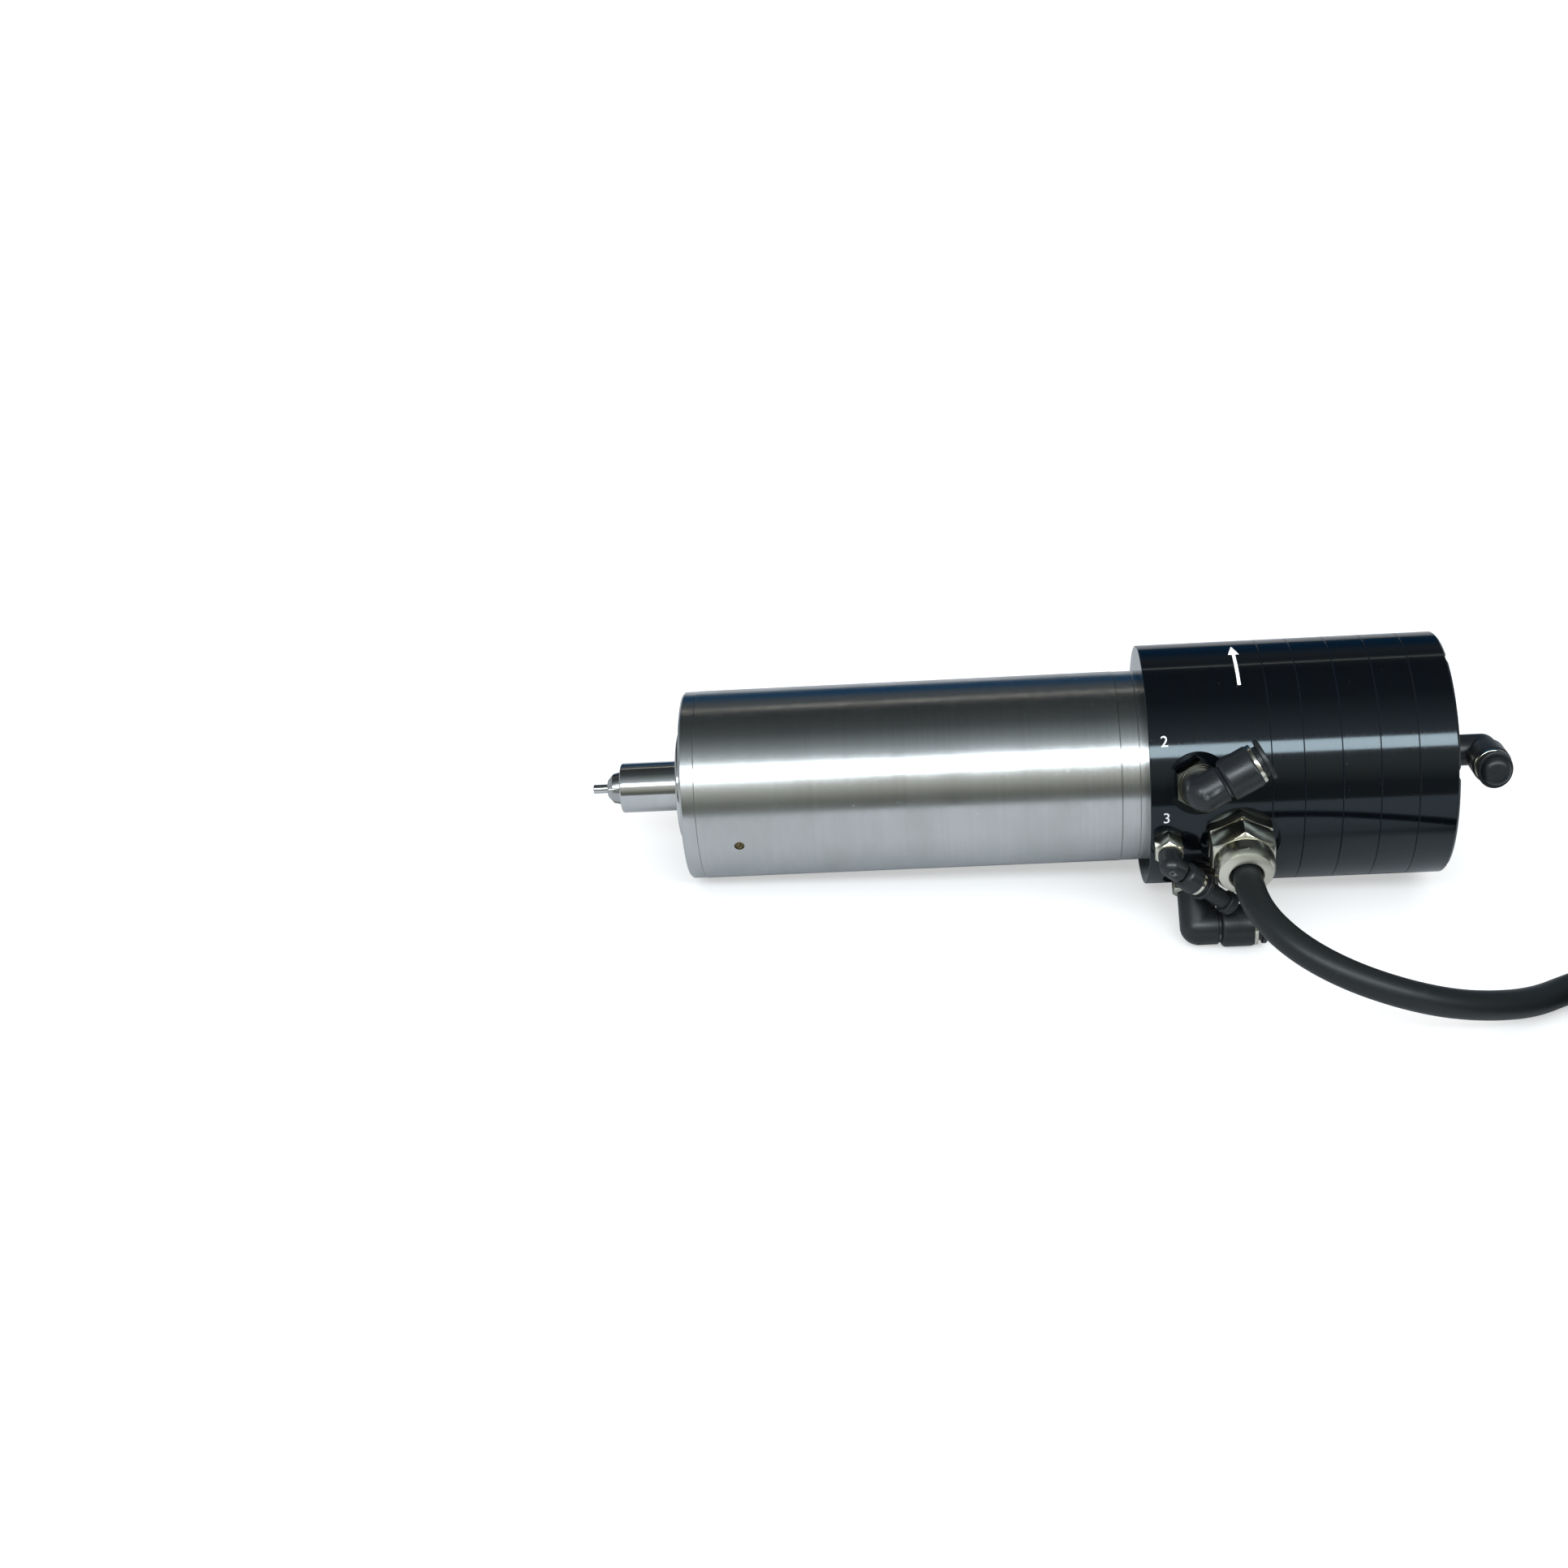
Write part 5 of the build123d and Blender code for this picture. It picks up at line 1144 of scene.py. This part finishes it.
class SPINDLE_OT_fittings(bpy.types.Operator):
    """Make the four push-in elbows with bases, rings, collars and plugs"""
    bl_idname = "spindle.fittings"
    bl_label = "Push-in fittings"

    def execute(self, context):
        looks = context.scene.spindle_fittings
        for name, sizes in FITTINGS.items():
            place = stud_frame(name)
            port = place @ Matrix.Translation((0, 0, sizes.arm)) @ ALONG
            self.base(name, sizes, looks)
            self.elbow(name, sizes, looks, place)
            self.ring(name, sizes, port)
            self.collar(name, sizes, looks, port)
            if name in PLUGS:
                self.plug(name, sizes, port)
        return {"FINISHED"}

    @staticmethod
    def base(name, sizes, looks):
        """Hexagon with the bright lip that the elbow turns in."""
        top, stem = sizes.hex_height, sizes.elbow * 0.62
        nut = hexagon(sizes.flats, 0.0, top, 0.9)
        lip_r = min(sizes.elbow + looks.lip / MM, sizes.flats / 2 - 0.25)
        stem_end = sizes.arm - sizes.elbow * 0.35
        lip = lathe([(top - 1, 0), (top - 1, lip_r), (top + 0.26, lip_r, 0.12), (top + 0.26, stem),
                     (stem_end, stem), (stem_end, 0)], 96)
        thread = rod(-5.0, 0.5, sizes.stud, 64)
        mesh = combined(nut, [lip, thread], "UNION")
        bore = rod(-6, sizes.arm, stem - 1.2, 48)
        # The listed bases get the darkened nickel, a painted shade; the others plain nickel.
        finish = "base_nickel" if name in SHADED_BASES else "nickel"
        piece(name + " base", combined(mesh, [bore]), base_frame(name), finish, "housing", "nickel",
              name + "_base", smooth=24.0)

    @staticmethod
    def elbow(name, sizes, looks, place):
        foot, arm, r, port = sizes.hex_height + 0.3, sizes.arm, sizes.elbow, sizes.port
        corner = [(arm + r * sin(radians(a)), r * cos(radians(a))) for a in range(0, 90, 6)]
        upright = lathe([(foot, 0), (foot, r - 0.25), (foot + 0.25, r)] + corner + [(arm + r, 0)], 96)
        barrel = lathe([(0, 0), (0, r - 0.01), (sizes.seam - 0.75, r - 0.01, 0.2),
                        (sizes.seam - 0.45, r - 0.6), (sizes.seam + 0.15, r - 0.6),
                        (sizes.seam + 0.75, port - 0.35, 0.2), (sizes.seam + 1.5, port, 0.5),
                        (sizes.body_end - 0.8, port, 0.3), (sizes.body_end, port - 0.35),
                        (sizes.body_end, 0)], 96)
        turn = Matrix.Translation((0, 0, arm)) @ ALONG
        body = combined(upright, [moved(barrel, turn)], "UNION")
        gate = rod(arm + r - 0.12, arm + r + 1, looks.gate_mark / MM, 32)
        bores = [moved(rod(sizes.seam - 1.5, sizes.body_end + 1, sizes.tube + SEAT_PLAY, 64), turn),
                 moved(rod(0, sizes.seam, sizes.tube - 1.0, 48), turn),
                 rod(foot - 1, arm - r * 0.35 + 0.3, r * 0.62 + 0.08, 64), gate]
        piece(name + " elbow", bevelled(combined(body, bores), 0.12, 38.0), place, "fitting_plastic",
              name + "_elbow", "fitting_plastic", name + "_elbow", smooth=40.0)

    @staticmethod
    def ring(name, sizes, port):
        bore, end, rim = sizes.tube + SEAT_PLAY, sizes.body_end + RING_LENGTH, sizes.port - 0.35
        ring = lathe([(sizes.body_end, bore), (sizes.body_end, rim), (end, rim, 0.35),
                      (end, bore + 0.25), (end - 0.25, bore)], 96)
        piece(name + " ring", ring, port, "ring_nickel", name + "_elbow", "ring_metal", name + "_ring")

    @staticmethod
    def collar(name, sizes, looks, port):
        """Release sleeve with its oval flange, slightly dished."""
        bore, neck = sizes.tube + TUBE_PLAY, sizes.tube + 1.05
        ring_end = sizes.body_end + RING_LENGTH
        flange, rim = ring_end + RELEASE_GAP, sizes.port
        start, face = ring_end - 5.0, flange + FLANGE
        collar = lathe([(start, bore), (start, neck), (flange, neck, 0.2), (flange, rim, 0.25),
                        (face, rim, 0.5), (face, neck + 0.8), (face - 0.25, neck),
                        (face - 0.25, bore, 0.2)], 96, oval=(neck + 0.4, looks.flange_flat))
        piece(name + " collar", collar, port, "collar_plastic", name + "_collar", "fitting_plastic",
              name + "_collar")

    @staticmethod
    def plug(name, sizes, port):
        """Blanking plug: a shank in the collar, a grip if it has one, and a rounded head."""
        grip, head_r, head = PLUGS[name]
        face = sizes.body_end + RING_LENGTH + RELEASE_GAP + FLANGE + PLUG_GAP
        shank, grip_r = sizes.tube, min(sizes.tube + 0.9, head_r)
        outline = [(sizes.seam + 1, 0), (sizes.seam + 1, shank - 0.4), (sizes.seam + 1.4, shank),
                   (face, shank)]
        if grip:
            outline += [(face, grip_r, 0.2), (face + grip, grip_r)]
        tip = face + grip + head
        crown = [(tip - head * 0.3, head_r, head * 0.28), (tip, head_r * 0.62, 0.5)]
        if not grip:
            crown = [(tip, head_r, head * 0.85)]
        outline += [(face + grip, head_r, 0.3)] + crown + [(tip, 0)]
        piece(name + " plug", lathe(outline, 72), port, "collar_plastic", name + "_elbow",
              "fitting_plastic", name + "_plug")


# ---------------------------------------------------------------- gland and marks
class SPINDLE_OT_gland(bpy.types.Operator):
    """Make the cable gland: flange hexagon, dome nut and rubber seal"""
    bl_idname = "spindle.gland"
    bl_label = "Cable gland"

    def execute(self, context):
        place = gland_frame()
        thread = rod(-8, 0.5, GLAND_THREAD_R, 72)
        neck = rod(GLAND_FLANGE - 0.5, GLAND_FLANGE + 5, GLAND_NECK_R, 72)
        body = combined(hexagon(GLAND_FLATS, 0.0, GLAND_FLANGE, 0.6), [thread, neck], "UNION")
        body = combined(body, [rod(-9, GLAND_FLANGE + 6, GLAND_PASSAGE_R, 64)])
        piece("Gland body", body, place, "nickel", "housing", "nickel", "gland_body", smooth=24.0)
        low = GLAND_FLANGE + GLAND_GAP
        high = low + GLAND_NUT
        top = high + GLAND_DOME
        nut = hexagon(GLAND_FLATS, low, high, 1.3)
        dome = lathe([(low + 1, 0), (low + 1, GLAND_DOME_R), (top, GLAND_DOME_R, GLAND_CROWN),
                      (top, GLAND_MOUTH_R), (top, 0)], 128)
        nut = combined(nut, [dome], "UNION")
        bore, shelf, lead_in = GLAND_NECK_R + 0.05, GLAND_FLANGE + 6, GLAND_MOUTH_R + 0.65
        hollow = lathe([(low - 1, 0), (low - 1, bore), (shelf, bore), (shelf, GLAND_MOUTH_R),
                        (top - 0.55, GLAND_MOUTH_R), (top + 0.1, lead_in), (top + 1, lead_in),
                        (top + 1, 0)], 96)
        nut = piece("Gland dome nut", combined(nut, [hollow]), place, "nickel", "housing", "nickel",
                    "gland_dome_nut", smooth=24.0)
        back = place.inverted()
        paint_faces(nut.data, "satin_nickel",
                    lambda face: (back @ face.center).z > top - GLAND_SATIN)
        dressed("gland_seal", "seal_rubber", "housing", "seal_rubber")
        return {"FINISHED"}


def wrapped(mesh, radius):
    """Flat marks (X along the axis, Y round it, millimetres) bent onto a cylinder about X,
    their Y = 0 line at the top."""
    for vertex in mesh.vertices:
        angle = vertex.co.y / radius
        out = radius + vertex.co.z
        vertex.co = (vertex.co.x, out * sin(angle), out * cos(angle))
    mesh.update()
    return mesh


NUMBERS, NUMBER_X, NUMBER_SIZE = {"2": 44.7, "3": 8.5}, 4.9, 5.0
ARROW_X, ARROW_START, ARROW_TIP = 29.6, 72.0, 104.0
PRINT_LIFT, STRIP_WIDTH = 0.015, 0.5


class SPINDLE_OT_marks(bpy.types.Operator):
    """Print plain port numbers and the sense-of-rotation arrow"""
    bl_idname = "spindle.marks"
    bl_label = "Printed marks"

    def execute(self, context):
        radius = context.scene.spindle_sizes.cylinder_radius / MM
        self.arrow(radius)
        for text, elevation in NUMBERS.items():
            self.number(text, NUMBER_X, elevation, radius)
        return {"FINISHED"}

    @staticmethod
    def fine(shape, step):
        """Cuts a flat shape into strips narrow enough to bend."""
        low, high = (f(v.co.y for v in shape.verts) for f in (min, max))
        for k in range(1, int((high - low) / step) + 1):
            everything = shape.verts[:] + shape.edges[:] + shape.faces[:]
            bmesh.ops.bisect_plane(shape, geom=everything, plane_co=(0, low + k * step, 0),
                                   plane_no=(0, 1, 0))

    def finish(self, name, shape, radius, x, elevation):
        self.fine(shape, STRIP_WIDTH)
        mesh = as_mesh(shape)
        wrapped(mesh, radius + PRINT_LIFT)
        if mesh.polygons[0].normal.z < 0:
            mesh.flip_normals()
        turn = Matrix.Translation((x, 0, 0)) @ Matrix.Rotation(radians(90 - elevation), 4, "X")
        piece(name, mesh, SPINDLE @ turn, "print_white", "housing", "black_anodised")

    def arrow(self, radius):
        """Arrow that points round the cylinder, away over the top."""
        half_way = (ARROW_START + ARROW_TIP) / 2
        reach = radians(ARROW_TIP - ARROW_START) / 2 * radius
        shape = bmesh.new()
        shaft, head, head_length = 0.52, 1.7, 6.5
        outline = [(-shaft, -reach), (shaft, -reach), (shaft, reach - head_length),
                   (head, reach - head_length), (0, reach), (-head, reach - head_length),
                   (-shaft, reach - head_length)]
        shape.faces.new([shape.verts.new((px, py, 0)) for px, py in outline])
        self.finish("Rotation arrow", shape, radius, ARROW_X, half_way)

    def number(self, text, x, elevation, radius):
        """Plain figure, upright when seen from the side with the fittings."""
        curve = bpy.data.curves.new("Figure", "FONT")
        curve.body, curve.size = text, NUMBER_SIZE
        curve.align_x, curve.align_y = "CENTER", "CENTER"
        flat = evaluated(worker(curve))
        shape = bmesh.new()
        shape.from_mesh(flat)
        bmesh.ops.remove_doubles(shape, verts=shape.verts, dist=1e-5)
        self.finish("Port number " + text, shape, radius, x, elevation)


class SPINDLE_OT_inner_pieces(bpy.types.Operator):
    """Give every piece inside the spindle its own finish"""
    bl_idname = "spindle.inner_pieces"
    bl_label = "Inner pieces"

    INNER = {
        "inner_steel": ("front_bearing_housing", "rear_bearing_housing", "bearing_outer_rings",
                        "bearing_inner_rings", "front_ball_rows", "rear_ball_row", "piston_rod"),
        "dark_screw": ("disc_springs", "piston_return_spring"),
        "raw_aluminium": ("water_jacket", "piston_discs"),
        "core_iron": ("stator_core", "rotor_core"),
        "copper": ("stator_windings",),
        "seal_rubber": ("cylinder_seals", "piston_seals"),
    }

    def execute(self, context):
        for finish, nodes in self.INNER.items():
            for node in nodes:
                mesh = frame["nodes"][node].data
                mesh.materials.clear()
                mesh.materials.append(FINISHES[finish])
        return {"FINISHED"}


class SPINDLE_PT_panel(bpy.types.Panel):
    """Sizes, colours and the steps that make the spindle"""
    bl_idname = "SPINDLE_PT_panel"
    bl_label = "Motor Spindle"
    bl_space_type, bl_region_type, bl_category = "VIEW_3D", "UI", "Spindle"

    def draw(self, context):
        layout, scene = self.layout, context.scene
        for name in GROUPS:
            group = getattr(scene, name)
            column = layout.column(align=True)
            for setting in group.__annotations__:
                column.prop(group, setting)
        for step in STEPS:
            layout.operator(step.bl_idname)


GROUPS = {
    "spindle_sizes": SpindleSizes,
    "spindle_fittings": FittingSizes,
    "spindle_lead": LeadSizes,
    "spindle_colours": FinishColours,
    "spindle_studio": StudioSizes,
}
STEPS = (SPINDLE_OT_stage, SPINDLE_OT_lead, SPINDLE_OT_clamp_body, SPINDLE_OT_rotor,
         SPINDLE_OT_release_cylinder, SPINDLE_OT_fittings, SPINDLE_OT_gland, SPINDLE_OT_marks,
         SPINDLE_OT_inner_pieces)


def register():
    for group in (*GROUPS.values(), *STEPS, SPINDLE_PT_panel):
        bpy.utils.register_class(group)
    for name, group in GROUPS.items():
        setattr(bpy.types.Scene, name, PointerProperty(type=group))


def unregister():
    for name in GROUPS:
        delattr(bpy.types.Scene, name)
    for group in reversed((*GROUPS.values(), *STEPS, SPINDLE_PT_panel)):
        bpy.utils.unregister_class(group)


def main():
    register()
    make_finishes(bpy.context.scene.spindle_colours)
    for step in STEPS:
        family, action = step.bl_idname.split(".")
        getattr(getattr(bpy.ops, family), action)()


if __name__ == "__main__":
    main()
